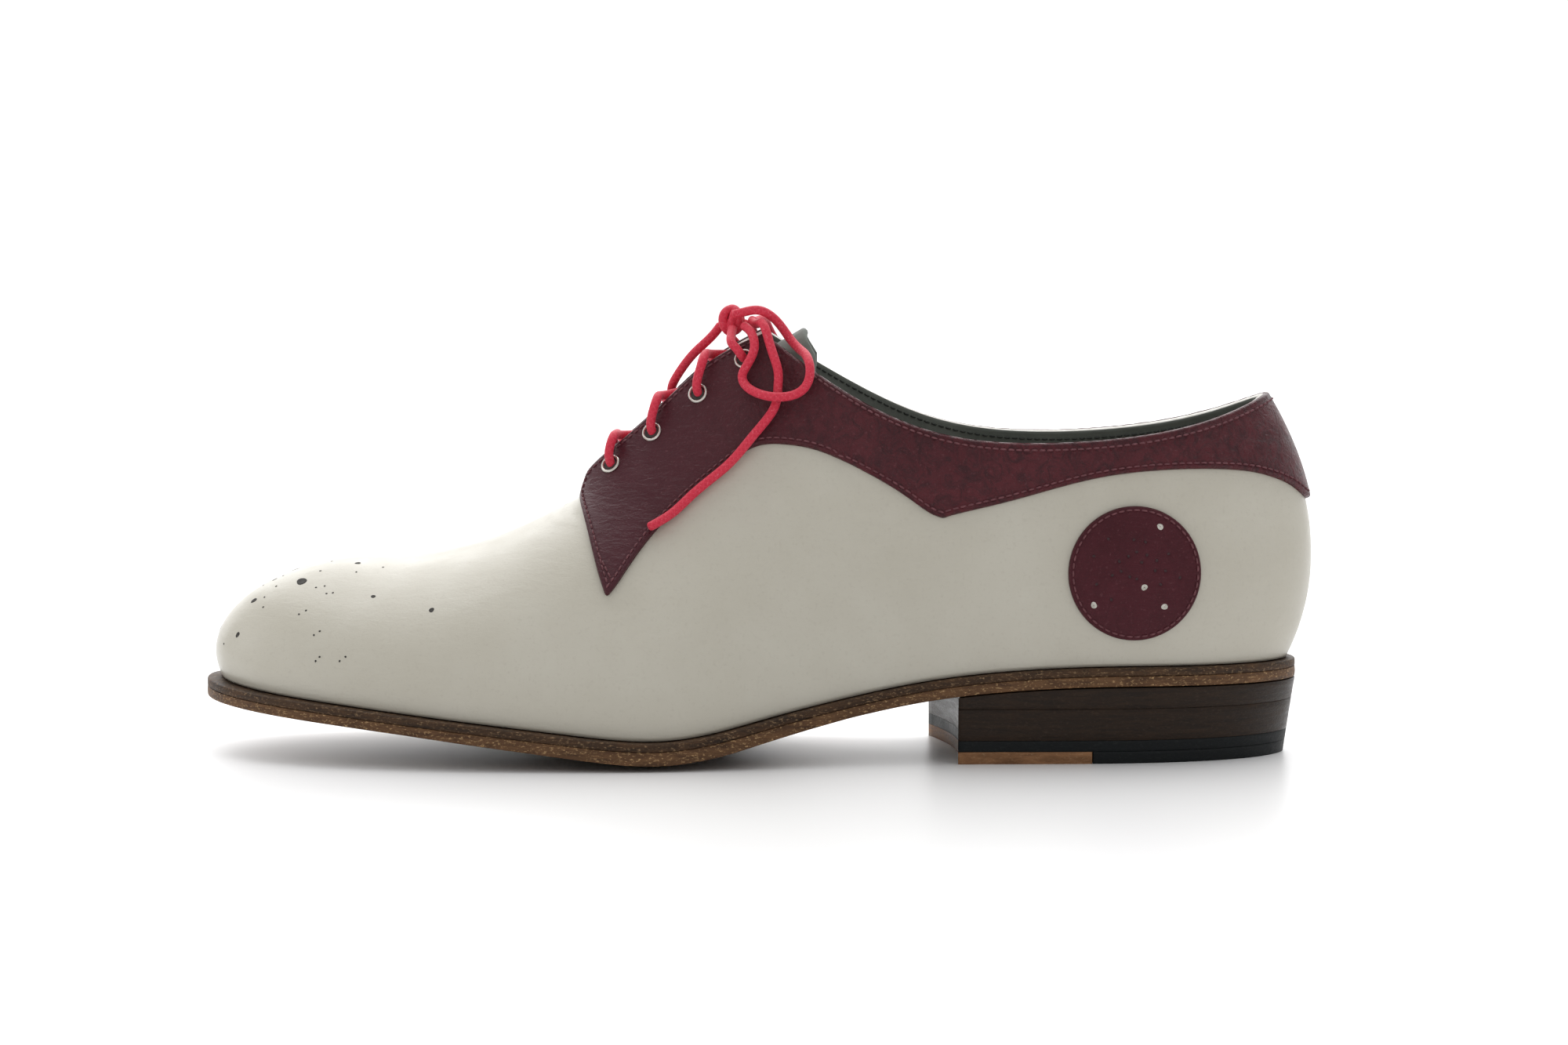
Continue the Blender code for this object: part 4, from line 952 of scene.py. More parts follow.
def even_rows(first, last, step):
    """Rows that lie an even step apart, measured at half height, between two rows."""
    fine = np.linspace(first, last, 400)
    length = line_length(on_skin("lateral", fine, np.full(400, 0.5)))
    return np.interp(np.linspace(0, length[-1], max(2, round(length[-1] / step)) + 1), length, fine)


def make_body():
    """Both sides as one mesh with a row at the throat's ends, merged where they meet."""
    rows = np.concatenate([[0.0]] + [even_rows(*ends, BODY_STEP)[1:] for ends in (
        (0, THROAT_ROW), (THROAT_ROW, CORNER_ROW), (CORNER_ROW, LAST_ROW))])
    up = np.linspace(0, 1, BODY_UPS)
    row, high = np.meshgrid(rows, up, indexing="ij")
    points = np.stack([on_skin(side, row, high) for side in SIDES])
    size = row.size
    faces = np.concatenate([quads(*row.shape), quads(*row.shape, size)[:, ::-1]])
    body = make_piece("upper_body", points, faces, [CREAM, LINING, RAW_EDGE], ["upper"],
                      closed=False)
    cleaned(body.data, 0.010, 0.002, closed=False)
    wall = body.modifiers.new("wall", "SOLIDIFY")
    wall.thickness = WALL
    wall.offset = -1
    wall.material_offset = 1
    wall.material_offset_rim = 2


make_body()

# %% [markdown]
# ## Facing and collar band
# On each side one strip of burgundy calf is the facing of the throat and runs on as the band of the
# collar. Its lower edge is drawn in side view and found on the skin. Lines then climb from that edge
# to the top line, and the strip's height above the skin depends on the distance to its own edge: a
# quarter round at the edge, a groove where the seam is pulled tight, and the full leather inside.

# %% Edge of the strip on the skin
BACK_EDGE = 16.0
OVERLAY = 0.0013
BED = 0.00006  # height of the underside above the skin
EDGE_ROUND = 0.0009
SEAM_INSET = 0.0014
FACING_FRONT = ((0.339, 0.860), (0.3405, 0.720), (0.3446, 0.661), (0.3524, 0.582), (0.3588, 0.520),
                (0.3662, 0.460))
FACING_BELOW = (
    (0.3662, 0.460), (0.378, 0.504), (0.401, 0.600), (0.4354, 0.709), (0.4714, 0.801), (0.500, 0.860),
    (0.525, 0.871), (0.550, 0.862), (0.5714, 0.842), (0.600, 0.803), (0.636, 0.742), (0.660, 0.692),
    (0.675, 0.674),
)
BAND_BELOW = (
    (0.675, 0.674), (0.690, 0.688), (0.744, 0.727), (0.8156, 0.782), (0.888, 0.804), (0.946, 0.799),
    (0.977, 0.780), (0.999, 0.751), (1.017, 0.707), (1.040, 0.648),
)


def drawn_run(corners):
    """Spline through side view corners, as x and z in metres."""
    points = np.array(corners)
    at = np.linspace(0, len(points) - 1, 16 * len(points))
    return np.stack([along_last(spline(points[:, 0], at)), spline(points[:, 1], at) * BACK_HEIGHT], axis=-1)


def first_change(values, axis):
    """Place along an axis where values first turn from below to above zero, by linear mixing."""
    values = np.moveaxis(values, axis, 0)
    turned = (values[:-1] < 0) & (values[1:] >= 0)
    index = turned.argmax(axis=0)
    low = np.take_along_axis(values, index[None], 0)[0]
    high = np.take_along_axis(values, index[None] + 1, 0)[0]
    found = turned.any(axis=0)
    rise = np.where(high - low == 0, 1, high - low)
    return np.where(found, index - np.where(found, low / rise, 0), np.nan)


def strip_edge(side):
    """Row and up along the strip's edge, from its front corner down to the tip and back to the heel."""
    points = SKIN[side][0]
    front = drawn_run(FACING_FRONT)
    below = np.concatenate([drawn_run(FACING_BELOW), drawn_run(BAND_BELOW)[1:]])
    tip_row, tip_up = place_of(side, *front[-1])
    order = np.argsort(front[:, 1])
    start = int(5.8 * ROWS_PER_STEP)
    piece = points[start:int(7.6 * ROWS_PER_STEP)]
    ahead = piece[..., 0] - np.interp(piece[..., 2], front[order, 1], front[order, 0])
    row = (first_change(ahead, 0) + start) / ROWS_PER_STEP
    up = np.linspace(0, 1, UPS)
    good = (up > tip_up[0] + 0.006) & ~np.isnan(row)
    bend = np.clip((up[good] - 0.87) / 0.13, 0, 1) ** 2.4 * 0.46
    front_edge = np.stack([row[good] + bend, up[good]], axis=-1)[::-1]
    rows = np.arange(int(np.ceil((tip_row[0] + 0.03) * ROWS_PER_STEP)), LAST_ROW * ROWS_PER_STEP + 1)
    piece = points[rows]
    above = piece[..., 2] - np.interp(piece[..., 0], below[:, 0], below[:, 1])
    back = first_change(above, 1) / (UPS - 1)
    good = ~np.isnan(back)
    back_edge = np.stack([rows[good] / ROWS_PER_STEP, back[good]], axis=-1)
    edge = np.concatenate([front_edge, [[tip_row[0], tip_up[0]]], back_edge])
    return edge, len(front_edge)


for side in SIDES:
    edge, corner = strip_edge(side)
    print(side, "edge, by row and up:", *np.round(edge[[0, corner, -1]], 3))


# %% Height above the skin
def distance_to(points, line):
    """Shortest distance from each point to a line of close points, in blocks to save memory."""
    flat = points.reshape(-1, 3)
    blocks = np.array_split(flat, 24)
    near = [np.sqrt(((block[:, None] - line[None]) ** 2).sum(axis=2).min(axis=1)) for block in blocks]
    return np.concatenate(near).reshape(points.shape[:-1])


def leather_height(distance, seams=(SEAM_INSET,), groove=0.00012):
    """Quarter round at the edge, less a bell shaped groove along each seam."""
    part = np.clip(distance / EDGE_ROUND, 0, 1)
    height = GAP + OVERLAY * np.sqrt(1 - (1 - part) ** 2)
    for seam in seams:
        height = height - groove * np.exp(-(((distance - seam) / 0.0004) ** 2))
    return height


def spaced(count, closeness):
    """Shares from 0 to 1 that lie closer at both ends."""
    share = np.linspace(0, 1, count)
    return share - closeness * np.sin(2 * np.pi * share) / (2 * np.pi)


print(f"leather stands {leather_height(1.0) / MM:.1f} mm above the skin")

# %% The strip itself
def make_strip(side):
    """Lines climb from the edge to the top line and lean back near the tip, which is rounded by a mean."""
    edge, corner = strip_edge(side)
    line = on_skin(side, edge[:, 0], edge[:, 1])
    length = line_length(line)
    tip = length[corner]
    wanted = np.concatenate([np.linspace(0, tip, 64)[:-1], np.linspace(tip, length[-1], 300)])
    edge = np.stack([np.interp(wanted, length, edge[:, axis]) for axis in (0, 1)], axis=-1)
    weight = np.hanning(9)[1:-1] / np.hanning(9).sum()
    edge[57:70] = np.stack([np.convolve(edge[54:73, axis], weight, "valid") for axis in (0, 1)], axis=-1)
    lean = np.interp(wanted, (0, tip, tip + 0.15 * (length[-1] - tip), length[-1]), (0, 0.75, 0.9, 0))
    top = np.maximum.accumulate(edge[:, 0] + lean * np.clip((13 - edge[:, 0]) / 6, 0, 1))
    top = np.minimum(top, BACK_EDGE)
    part = spaced(40, 0.86)[None, :]
    row = edge[:, :1] * (1 - part) + top[:, None] * part
    up = edge[:, 1:] * (1 - part) + part
    skin = on_skin(side, row, up)
    rim_rows = np.linspace(edge[0, 0], BACK_EDGE, 900)
    rim = np.concatenate([on_skin(side, edge[:, 0], edge[:, 1]), on_skin(side, rim_rows, np.ones(900)),
                          on_skin(side, np.full(60, BACK_EDGE), np.linspace(edge[-1, 1], 1, 60))])
    distance = distance_to(skin, rim)
    outer = on_skin(side, row, up, leather_height(distance))
    closed_sheet("facing_and_collar_" + side, outer, on_skin(side, row, up, BED), BURGUNDY,
                 ["facing_collar_" + side])
    return edge


STRIP_EDGE = {side: make_strip(side) for side in SIDES}

# %% [markdown]
# ## Seams
# A seam is a row of short threads, each sunk at its two ends. One thread is a small bow of six sides,
# and the whole row is one mesh made from arrays: the same bow placed at every stitch along the line.

# %% Stitches
STITCH = 0.0017
STITCH_PITCH = 0.0021
THREAD_RADIUS = 0.00027
STITCH_SHAPE = np.array(((-0.5, 0.0, -0.6), (-0.46, 0.7, -0.1), (-0.25, 1.0, 0.55), (0.0, 1.05, 0.75),
                         (0.25, 1.0, 0.55), (0.46, 0.7, -0.1), (0.5, 0.0, -0.6)))


def walk(side, row, up, away):
    """Row and up after a short step on the skin: the step is split along the skin's two directions."""
    by_row = (on_skin(side, row + 0.03, up) - on_skin(side, row - 0.03, up)) / 0.06
    by_up = (on_skin(side, row, up + 0.01) - on_skin(side, row, up - 0.01)) / 0.02
    one, two, both = (by_row**2).sum(-1), (by_up**2).sum(-1), (by_row * by_up).sum(-1)
    first, second = (away * by_row).sum(-1), (away * by_up).sum(-1)
    turn = one * two - both**2
    return row + (first * two - second * both) / turn, up + (second * one - first * both) / turn


def inset_line(side, row, up, inset):
    """The line moved inward on the skin by an even distance."""
    line = on_skin(side, row, up)
    along = np.gradient(line, axis=0)
    along /= np.linalg.norm(along, axis=1, keepdims=True)
    inward = np.cross(skin_normal(side, row, up), along)
    inward /= np.linalg.norm(inward, axis=1, keepdims=True)
    inward *= np.sign(inward[len(inward) // 2, 2])
    return walk(side, row, up, inward * inset)


def bows(line, normal, pitch=STITCH_PITCH, size=STITCH, thick=THREAD_RADIUS):
    """Points and faces of all stitches along a line: stations of a bow times six corners round it."""
    length = line_length(line)
    middle = np.arange(pitch / 2, length[-1], pitch)
    place = at_lengths(line, middle)
    out = np.stack([np.interp(middle, length, normal[:, axis]) for axis in range(3)], axis=-1)
    along = at_lengths(line, middle + pitch / 4) - at_lengths(line, middle - pitch / 4)
    along /= np.linalg.norm(along, axis=1, keepdims=True)
    out = out - (out * along).sum(-1, keepdims=True) * along
    out /= np.linalg.norm(out, axis=1, keepdims=True)
    beside = np.cross(along, out)
    angle = np.linspace(0, 2 * np.pi, 7)[None, :]
    station = STITCH_SHAPE[:, 0:1] * size + 0 * angle
    side_way = STITCH_SHAPE[:, 1:2] * thick * np.cos(angle)
    up_way = STITCH_SHAPE[:, 1:2] * thick * np.sin(angle) + STITCH_SHAPE[:, 2:3] * thick
    points = (place[:, None, None] + station[..., None] * along[:, None, None]
              + side_way[..., None] * beside[:, None, None] + up_way[..., None] * out[:, None, None])
    one = quads(len(STITCH_SHAPE), 7)
    faces = (one[None] + (np.arange(len(place)) * station.size)[:, None, None]).reshape(-1, 4)
    return points.reshape(-1, 3), faces


def sew(name, lines, look, slot, **sizes):
    """One piece of all the stitches along several lines, each given as points and normals."""
    made = [bows(line, normal, **sizes) for line, normal in lines]
    starts = np.cumsum([0] + [len(points) for points, _ in made])
    faces = np.concatenate([faces + start for (_, faces), start in zip(made, starts)])
    return make_piece(name, np.concatenate([points for points, _ in made]), faces, look)


def seam_on(side, row, up, lift):
    """A line raised above the skin, and the normals along it."""
    return on_skin(side, row, up, lift), skin_normal(side, row, up)


print(f"stitches of {STITCH / MM:.1f} mm")

# %% Seams of the strips and of the lining
SEAM_LIFT = GAP + OVERLAY - 0.00010
for side in SIDES:
    edge = STRIP_EDGE[side]
    row, up = inset_line(side, edge[:, 0], edge[:, 1], SEAM_INSET)
    corner = int(np.argmin(up[:110]))
    keep = (up < 1 - SEAM_INSET / rib_length(side, row)) & (row < BACK_EDGE - 0.05)
    front = keep & (np.arange(len(row)) <= corner - 3)
    back = keep & (np.arange(len(row)) >= corner + 3)
    top_rows = np.linspace(10.55, BACK_EDGE - 0.05, 260)
    top = 1 - 0.0023 / rib_length(side, top_rows)
    throat_rows = np.linspace(6.80, 9.93, 150)
    throat = 1 - 0.0016 / rib_length(side, throat_rows)
    bar = [np.linspace(values[corner - 16], values[corner + 7], 12) for values in (row, up)]
    lines = [seam_on(side, row[front], up[front], SEAM_LIFT), seam_on(side, row[back], up[back], SEAM_LIFT),
             seam_on(side, top_rows, top, SEAM_LIFT + 0.0001),
             seam_on(side, throat_rows, throat, SEAM_LIFT), seam_on(side, *bar, SEAM_LIFT + 0.0001)]
    sew("strip_seams_" + side, lines, THREAD, "burgundy_calf")
    line, normal = seam_on(side, top_rows, top, -WALL - 0.00005)
    sew("lining_seam_" + side, [(line, -normal)], LINING_THREAD, "lining")

# %% [markdown]
# ## The round patch
# A disc of burgundy calf is sewn on the outer quarter. It is drawn as rings and spokes in side view
# and found on the skin, so it bends with the heel. Small pricks are dents in its surface.

# %% Patch with pricks and holes
PATCH_RADIUS = 0.0180
PATCH_SEAM = 0.0012
PATCH_PLACE = (float(along_last(0.850)), 0.0515)
PRICKS = ((520, 420), (755, 430), (862, 450), (385, 575), (705, 578), (825, 635), (965, 620), (635, 715),
          (555, 750), (715, 765), (780, 785), (950, 712), (1045, 715), (1180, 780), (1000, 838),
          (410, 830), (545, 970), (1075, 560), (620, 625), (780, 540), (875, 570))
PUNCHED = ((1480, 674), (1459, 751), (1394, 773), (1485, 776))
PRICK_PIXEL = 0.1403
PIXELS_PER_MM = 4.80
PATCH_MIDDLE = (1448, 733)


def on_patch(pixels):
    """Place in side view of marks seen in the photograph's frame, from the middle of the patch."""
    pixels = np.asarray(pixels, float)
    return (pixels - PATCH_MIDDLE) * (1, -1) / PIXELS_PER_MM * MM + PATCH_PLACE


PRICK_PLACES = on_patch(np.array(PRICKS) * PRICK_PIXEL + (1340, 630))
PUNCHED_PLACES = on_patch(PUNCHED)


def make_patch():
    """Height is the leather's, less a bell for each prick."""
    reach = (1 - (1 - np.linspace(0, 1, 72)) ** 1.35)[:, None]
    angle = np.linspace(0, 2 * np.pi, 181)[None, :]
    x = PATCH_PLACE[0] + PATCH_RADIUS * reach * np.cos(angle)
    z = PATCH_PLACE[1] + PATCH_RADIUS * reach * np.sin(angle)
    row, up = (one.reshape(x.shape) for one in place_of("lateral", x, z))
    height = leather_height(PATCH_RADIUS * (1 - reach) + 0 * x, (PATCH_SEAM,))
    away = np.hypot(x[..., None] - PRICK_PLACES[:, 0], z[..., None] - PRICK_PLACES[:, 1])
    height = height - (0.00050 * np.exp(-((away / 0.00055) ** 2))).sum(axis=-1)
    outer = on_skin("lateral", row, up, height)
    inner = on_skin("lateral", row, up, BED)
    size = x.size
    wall = np.arange(180) + (x.shape[0] - 1) * 181
    faces = np.concatenate([quads(*x.shape), quads(*x.shape, size)[:, ::-1],
                            np.stack([wall, wall + 1, wall + 1 + size, wall + size], axis=-1)])
    return make_piece("round_patch", np.stack([outer, inner]), faces, PATCH_BURGUNDY,
                      ["quarter_patch"])


make_patch()
ring = np.linspace(0, 2 * np.pi, 240)
ring = place_of("lateral", PATCH_PLACE[0] + (PATCH_RADIUS - PATCH_SEAM) * np.cos(ring),
                PATCH_PLACE[1] + (PATCH_RADIUS - PATCH_SEAM) * np.sin(ring))
sew("patch_seam", [seam_on("lateral", *ring, SEAM_LIFT)], THREAD, "burgundy_calf")

# %% [markdown]
# ## Pinholes and punched holes
# The pinholes of the toe and the four holes punched in the patch are flat discs, dark and pale, with a
# rim that stands up a little, as leather does round a hole. A sum of sines makes each a little uneven.
# The dark discs in the pinholes are painted shade of the hole over the lining seen through it.

# %% Punched holes and perforations
DISC_RIM = 0.00006
DISC_RINGS = np.array(((0.0, 0.3), (0.7, 0.45), (0.93, 1.0), (1.0, 0.4), (1.0, -2.0), (0.0, -2.0)))


def small_discs(name, side, row, up, width, lift, look, slot):
    """Discs on the skin. Each ring is a share of the radius out and a share of the rim's height up."""
    centre = on_skin(side, row, up, lift)
    normal = skin_normal(side, row, up)
    along = np.cross(normal, (0.0, 0.0, 1.0))
    along /= np.linalg.norm(along, axis=1, keepdims=True)
    above = np.cross(along, normal)
    angle = np.linspace(0, 2 * np.pi, 15)
    number = np.arange(len(row))[:, None]
    wobble = 1 + 0.10 * np.sin(2 * angle + 9 * number) + 0.05 * np.sin(3 * angle + 5 * number)
    flat = np.reshape(width, (-1, 1, 1)) / 2 * DISC_RINGS[None, :, :1] * wobble[:, None]
    points = (centre[:, None, None] + (flat * np.cos(angle))[..., None] * along[:, None, None]
              + (flat * np.sin(angle))[..., None] * above[:, None, None]
              + (DISC_RIM * DISC_RINGS[:, 1])[None, :, None, None] * normal[:, None, None])
    size = len(DISC_RINGS) * len(angle)
    faces = (quads(len(DISC_RINGS), len(angle))[None] + size * number[..., None]).reshape(-1, 4)
    return make_piece(name, points, faces, look)


HOLES_LATERAL = np.array((
    (2.06, 0.588, 3.7), (1.28, 0.42, 2.2), (0.48, 0.59, 1.6), (2.5, 0.83, 1.8), (4.58, 0.445, 1.8),
    (3.74, 0.525, 1.5), (1.56, 0.233, 1.8), (1.1, 0.177, 0.9), (3.34, 0.782, 1), (2.96, 0.718, 1),
    (2.04, 0.698, 1), (0.96, 0.86, 1), (0.56, 0.633, 1), (1.48, 0.53, 1), (1.56, 0.448, 1), (1.82, 0.39, 1),
    (0.36, 0.53, 1), (2.6, 0.555, 1), (2.74, 0.573, 1), (2.94, 0.522, 1), (3.04, 0.532, 1), (2.76, 0.38, 1),
    (2.84, 0.405, 1), (3.22, 0.285, 1), (3.28, 0.307, 1), (3.38, 0.17, 1), (3.42, 0.19, 1),
    (3.7, 0.182, 1), (3.76, 0.203, 1),
))
HOLES_MEDIAL = np.array(((1.02, 0.65, 2.6), (0.5, 0.38, 2), (0.0, 0.228, 2)))
for side, holes in (("lateral", HOLES_LATERAL), ("medial", HOLES_MEDIAL)):
    width = holes[:, 2] * 0.85 * MM * np.where(holes[:, 2] > 1, 1, 0.7)
    # each pinhole is a dark disc: painted shade of the hole over the lining seen through it
    small_discs("perforations_" + side, side, holes[:, 0], holes[:, 1], width, 0.00002, HOLE_SHADE, "cream_calf")
# prick bottoms: the dark disc at the bottom of each prick's dent is painted shade
for name, places, width, sunk, look, slot in (
        ("punched_holes", PUNCHED_PLACES, 0.0017, 0.00002, PALE_THREAD, "cream_calf"),
        ("prick_bottoms", PRICK_PLACES, 0.00080, 0.00026, PRICK_SHADE_LOOK, "burgundy_calf")):
    small_discs(name, "lateral", *place_of("lateral", *places.T), width, GAP + OVERLAY - sunk, look, slot)

# %% [markdown]
# ## Eyelets
# Each eyelet is a turned ring: a thin rolled bead outside and a tube that goes down through the
# leather. The profile is carried round the eyelet's own axis. A dark disc of painted shade closes the
# bore below.

# %% Eyelet rings
EYELETS = ((7.25, 0.0052), (7.97, 0.0053), (8.75, 0.0062), (9.57, 0.0053))
EYELET_PROFILE = (
    (2.02, -2.0), (2.00, 0.8), (2.03, 1.55), (2.12, 1.98), (2.30, 2.18), (2.50, 2.20), (2.70, 2.08),
    (2.82, 1.88), (2.84, 1.68), (2.76, 1.60), (2.30, 1.58), (2.26, -2.0),
)


def eyelet_frame(side, number):
    """Point of the skin, its normal, and the way up the rib."""
    row, inset = EYELETS[number]
    row = np.array([row])
    up = 1 - inset / rib_length(side, row)
    point, normal = on_skin(side, row, up)[0], skin_normal(side, row, up)[0]
    climb = (on_skin(side, row, up + 0.01) - on_skin(side, row, up))[0]
    climb -= (climb @ normal) * normal
    return point, normal, climb / np.linalg.norm(climb)


profile = np.array(EYELET_PROFILE + EYELET_PROFILE[:1])[None] * MM
angle = np.linspace(0, 2 * np.pi, 41)[:, None, None]
for side in SIDES:
    for number in range(4):
        point, normal, climb = eyelet_frame(side, number)
        way = np.cos(angle) * np.cross(normal, climb) + np.sin(angle) * climb
        ring = point + profile[..., :1] * way + profile[..., 1:] * normal
        make_piece(f"eyelet_ring_{side}_{number + 1}", ring, quads(*ring.shape[:2]), METAL_LOOK,
                   [f"eyelet_{side}_{number + 1}"])
for side in SIDES:
    rows = np.array([row for row, _ in EYELETS])
    ups = np.array([1 - inset / rib_length(side, row) for row, inset in EYELETS])
    # a dark disc of painted shade in each eyelet's bore
    small_discs("eyelet_bottoms_" + side, side, rows, ups, 0.0040, GAP + OVERLAY + 0.00006, HOLE_SHADE,
                "burgundy_calf")

# %% [markdown]
# ## The tongue
# The tongue closes the throat from inside. A coarse net is taken from the skin's own sections, sunk by
# the room that lining and laces need, and splines in both directions make it smooth.

# %% Tongue
TONGUE_THICKNESS = 0.0024
TONGUE_REACH = 0.0170
TONGUE_END = 0.0100
TONGUE_ARCH = 0.06
TONGUE_RIM = 0.0011
TONGUE_ROOM = np.array((
    (5.35, 0.5), (5.70, 0.7), (6.00, 0.9), (6.50, 2.9), (7.00, 4.9), (7.60, 4.4), (8.20, 4.1),
    (8.80, 3.9), (9.40, 3.7), (9.80, 3.4), (10.00, 3.2),
))
TONGUE_TIP = ((0.45, 0.98), (0.80, 0.86), (1.00, 0.62))


def upward_normals(grid):
    """Unit normals of a net across the throat, turned so that its middle points up."""
    normal = np.cross(np.gradient(grid, axis=0), np.gradient(grid, axis=1))
    normal /= np.linalg.norm(normal, axis=2, keepdims=True)
    middle = grid.shape[1] // 2
    return normal * np.sign(normal[:, middle:middle + 1, 2:3])


def throat_net(row):
    """Net across the throat: three places on each side and a middle raised by the throat's width."""
    shares = np.array([1.0, 0.62, 0.26, 0.0])
    halves = [on_skin(side, row[:, None] + 0 * shares,
                      1 - shares * TONGUE_REACH / rib_length(side, row)[:, None]) for side in SIDES]
    middle = (halves[0][:, -1] + halves[1][:, -1]) / 2
    middle[:, 2] += TONGUE_ARCH * np.linalg.norm(halves[0][:, -1] - halves[1][:, -1], axis=1)
    return np.concatenate([halves[0][:, :-1], middle[:, None], halves[1][:, -2::-1]], axis=1)


def make_tongue():
    """Net sunk along its normals, longer by a rounded tip, read finely both ways, with a rounded rim."""
    net = throat_net(TONGUE_ROOM[:, 0])
    above = net - upward_normals(net) * (WALL + TONGUE_ROOM[:, 1] * MM)[:, None, None]
    last = above[-1]
    middle = last[3]
    away = middle - above[-3, 3]
    away /= np.linalg.norm(away)
    ends = [middle + (last - middle) * narrow + away * TONGUE_END * share for share, narrow in TONGUE_TIP]
    above = np.concatenate([above, ends])
    rows = np.linspace(0, len(above) - 1, 110)
    places = np.linspace(0, 6, 61)
    by_row = np.stack([np.stack([spline(above[:, place, axis], rows) for axis in range(3)], axis=-1)
                       for place in range(7)], axis=1)
    fine = np.stack([np.stack([spline(line, places) for line in by_row[..., axis]])
                     for axis in range(3)], axis=-1)
    out = upward_normals(fine)
    rim = fine.reshape(-1, 3)[border(*fine.shape[:2])]
    part = np.clip(distance_to(fine, rim) / TONGUE_RIM, 0, 1)
    soft = np.sqrt(1 - (1 - part) ** 2)[..., None] * TONGUE_THICKNESS / 2
    centre = fine - out * TONGUE_THICKNESS / 2
    faces_out, faces_in = centre + out * np.maximum(soft, 0.0001), centre - out * np.maximum(soft, 0.0001)
    return closed_sheet("tongue_leather", faces_out, faces_in, LINING, ["tongue"])


make_tongue()

# %% [markdown]
# ## Lace through the eyelets
# Each strand comes up out of an eyelet, crosses the throat and dives under the opposite edge to the
# next eyelet. The two strands of a crossing pass over one another, so one is raised a little at the
# middle and the other lowered. The knot is a short core held by three wraps.

# %% Routes through the eyelets
LACE_OVER = 0.0036
LACE_UNDER = 0.0038


def edge_of(side, row):
    """Point and normal on the edge of the throat."""
    row = np.array([row])
    return on_skin(side, row, np.ones(1))[0], skin_normal(side, row, np.ones(1))[0]


def out_of_eyelet(number, side, edge_row):
    """Lace up through an eyelet, over its rim and across the edge of the throat."""
    point, normal, _ = eyelet_frame(side, number)
    edge, edge_normal = edge_of(side, edge_row)
    climb = edge - point - ((edge - point) @ normal) * normal
    climb /= np.linalg.norm(climb)
    return [point - normal * 0.0004, point + normal * 0.3 * LACE_OVER,
            point + normal * 0.74 * LACE_OVER + climb * 0.12 * LACE,
            point + normal * 1.08 * LACE_OVER + climb * 0.6 * LACE,
            point + normal * 1.24 * LACE_OVER + climb * 1.35 * LACE, edge + edge_normal * 1.2 * LACE_OVER]


def under_eyelet(number, side, edge_row):
    """From under the edge of the throat to under an eyelet."""
    point, normal, _ = eyelet_frame(side, number)
    edge, edge_normal = edge_of(side, edge_row)
    return [edge - edge_normal * LACE_UNDER, point - normal * LACE_UNDER]


def throat_middle(row):
    """Halfway between the two edges of the throat."""
    return (edge_of("lateral", row)[0] + edge_of("medial", row)[0]) / 2


print(f"lace passes {LACE_OVER / MM:.1f} mm above the skin and {LACE_UNDER / MM:.1f} mm below it")

# %% Crossings, bar and arch
CROSSING_LIFT = 0.00115
MEAN_LIFT = 0.0004
for number in range(3):
    row = EYELETS[number][0]
    step = EYELETS[number + 1][0] - row
    runs = []
    for side, other, lift in (("lateral", "medial", CROSSING_LIFT), ("medial", "lateral", -CROSSING_LIFT)):
        middle = throat_middle(row + 0.5 * step)
        slope = throat_middle(row + 0.6 * step) - throat_middle(row + 0.4 * step)
        raised = np.cross(slope, (0, 1, 0))
        raised *= np.sign(raised[2]) / np.linalg.norm(raised)
        over = out_of_eyelet(number, side, row + 0.42 * step)
        under = under_eyelet(number + 1, other, row + 0.8 * step)
        route = np.array(over + [middle + raised * (lift + MEAN_LIFT)] + under)
        runs.append(softened(smooth_line(route, LACE_STEP), 7)[::4])
    make_lace_piece(f"crossing_{number + 1}", runs, [f"lace_crossing_{number + 1}"])

first = EYELETS[0][0]
low = throat_middle(first)
low[2] -= LACE_UNDER
under = under_eyelet(0, "lateral", first)[::-1] + [low] + under_eyelet(0, "medial", first)
make_lace_piece("bar_below", [np.array(under)], ["lace_bar"])
arch_row = EYELETS[3][0] - 0.05
arch = out_of_eyelet(3, "lateral", arch_row) + [np.array((-0.0075, 0.0, 0.1168))]
arch += out_of_eyelet(3, "medial", arch_row)[::-1]
make_lace_piece("arch_to_knot", [np.array(arch)], ["lace_crossing_4"])

# %% Knot
KNOT_MIDDLE = np.array((-7.8, 0.0, 118.5)) * MM
KNOT_CORE = ((-2.6, -2.4, -2.3), (-1.6, -1.6, -0.9), (0.0, 0.0, 0.0), (1.0, 1.6, 0.4), (1.8, 2.6, -0.8))
KNOT_WRAPS = ((58, 16, 3.0, 3.25), (-34, -14, 2.9, 3.1), (10, 78, 2.6, 2.7))


def wrap_route(turn, lean, wide, high):
    """Ellipse round the core in an upright plane, turned about Z and leaned about X."""
    t = np.linspace(0.0, 2 * np.pi * 1.02, 40)
    flat = np.stack([wide * np.cos(t) * 0.35, wide * np.cos(t), high * np.sin(t)], axis=-1)
    (sin_z, cos_z), (sin_x, cos_x) = ((math.sin(one), math.cos(one)) for one in np.radians((turn, lean)))
    about_z = np.array(((cos_z, -sin_z, 0), (sin_z, cos_z, 0), (0, 0, 1)))
    about_x = np.array(((1, 0, 0), (0, cos_x, -sin_x), (0, sin_x, cos_x)))
    return KNOT_MIDDLE + (flat @ about_x.T @ about_z.T) * MM


wraps = [wrap_route(*values) for values in KNOT_WRAPS]
make_lace_piece("bow_knot", [KNOT_MIDDLE + np.array(KNOT_CORE) * MM * 0.9] + wraps, ["lace_knot"], 0.0026)

# %% [markdown]
# ## Welt and outsole
# Welt and sole follow the feather line at a spread that shrinks from the ball to the waist. A section
# is carried round that closed line: over the top to the edge, round a small corner, down the edge and
# back under. Halfway across the last both sides meet, so the sole closes on itself.

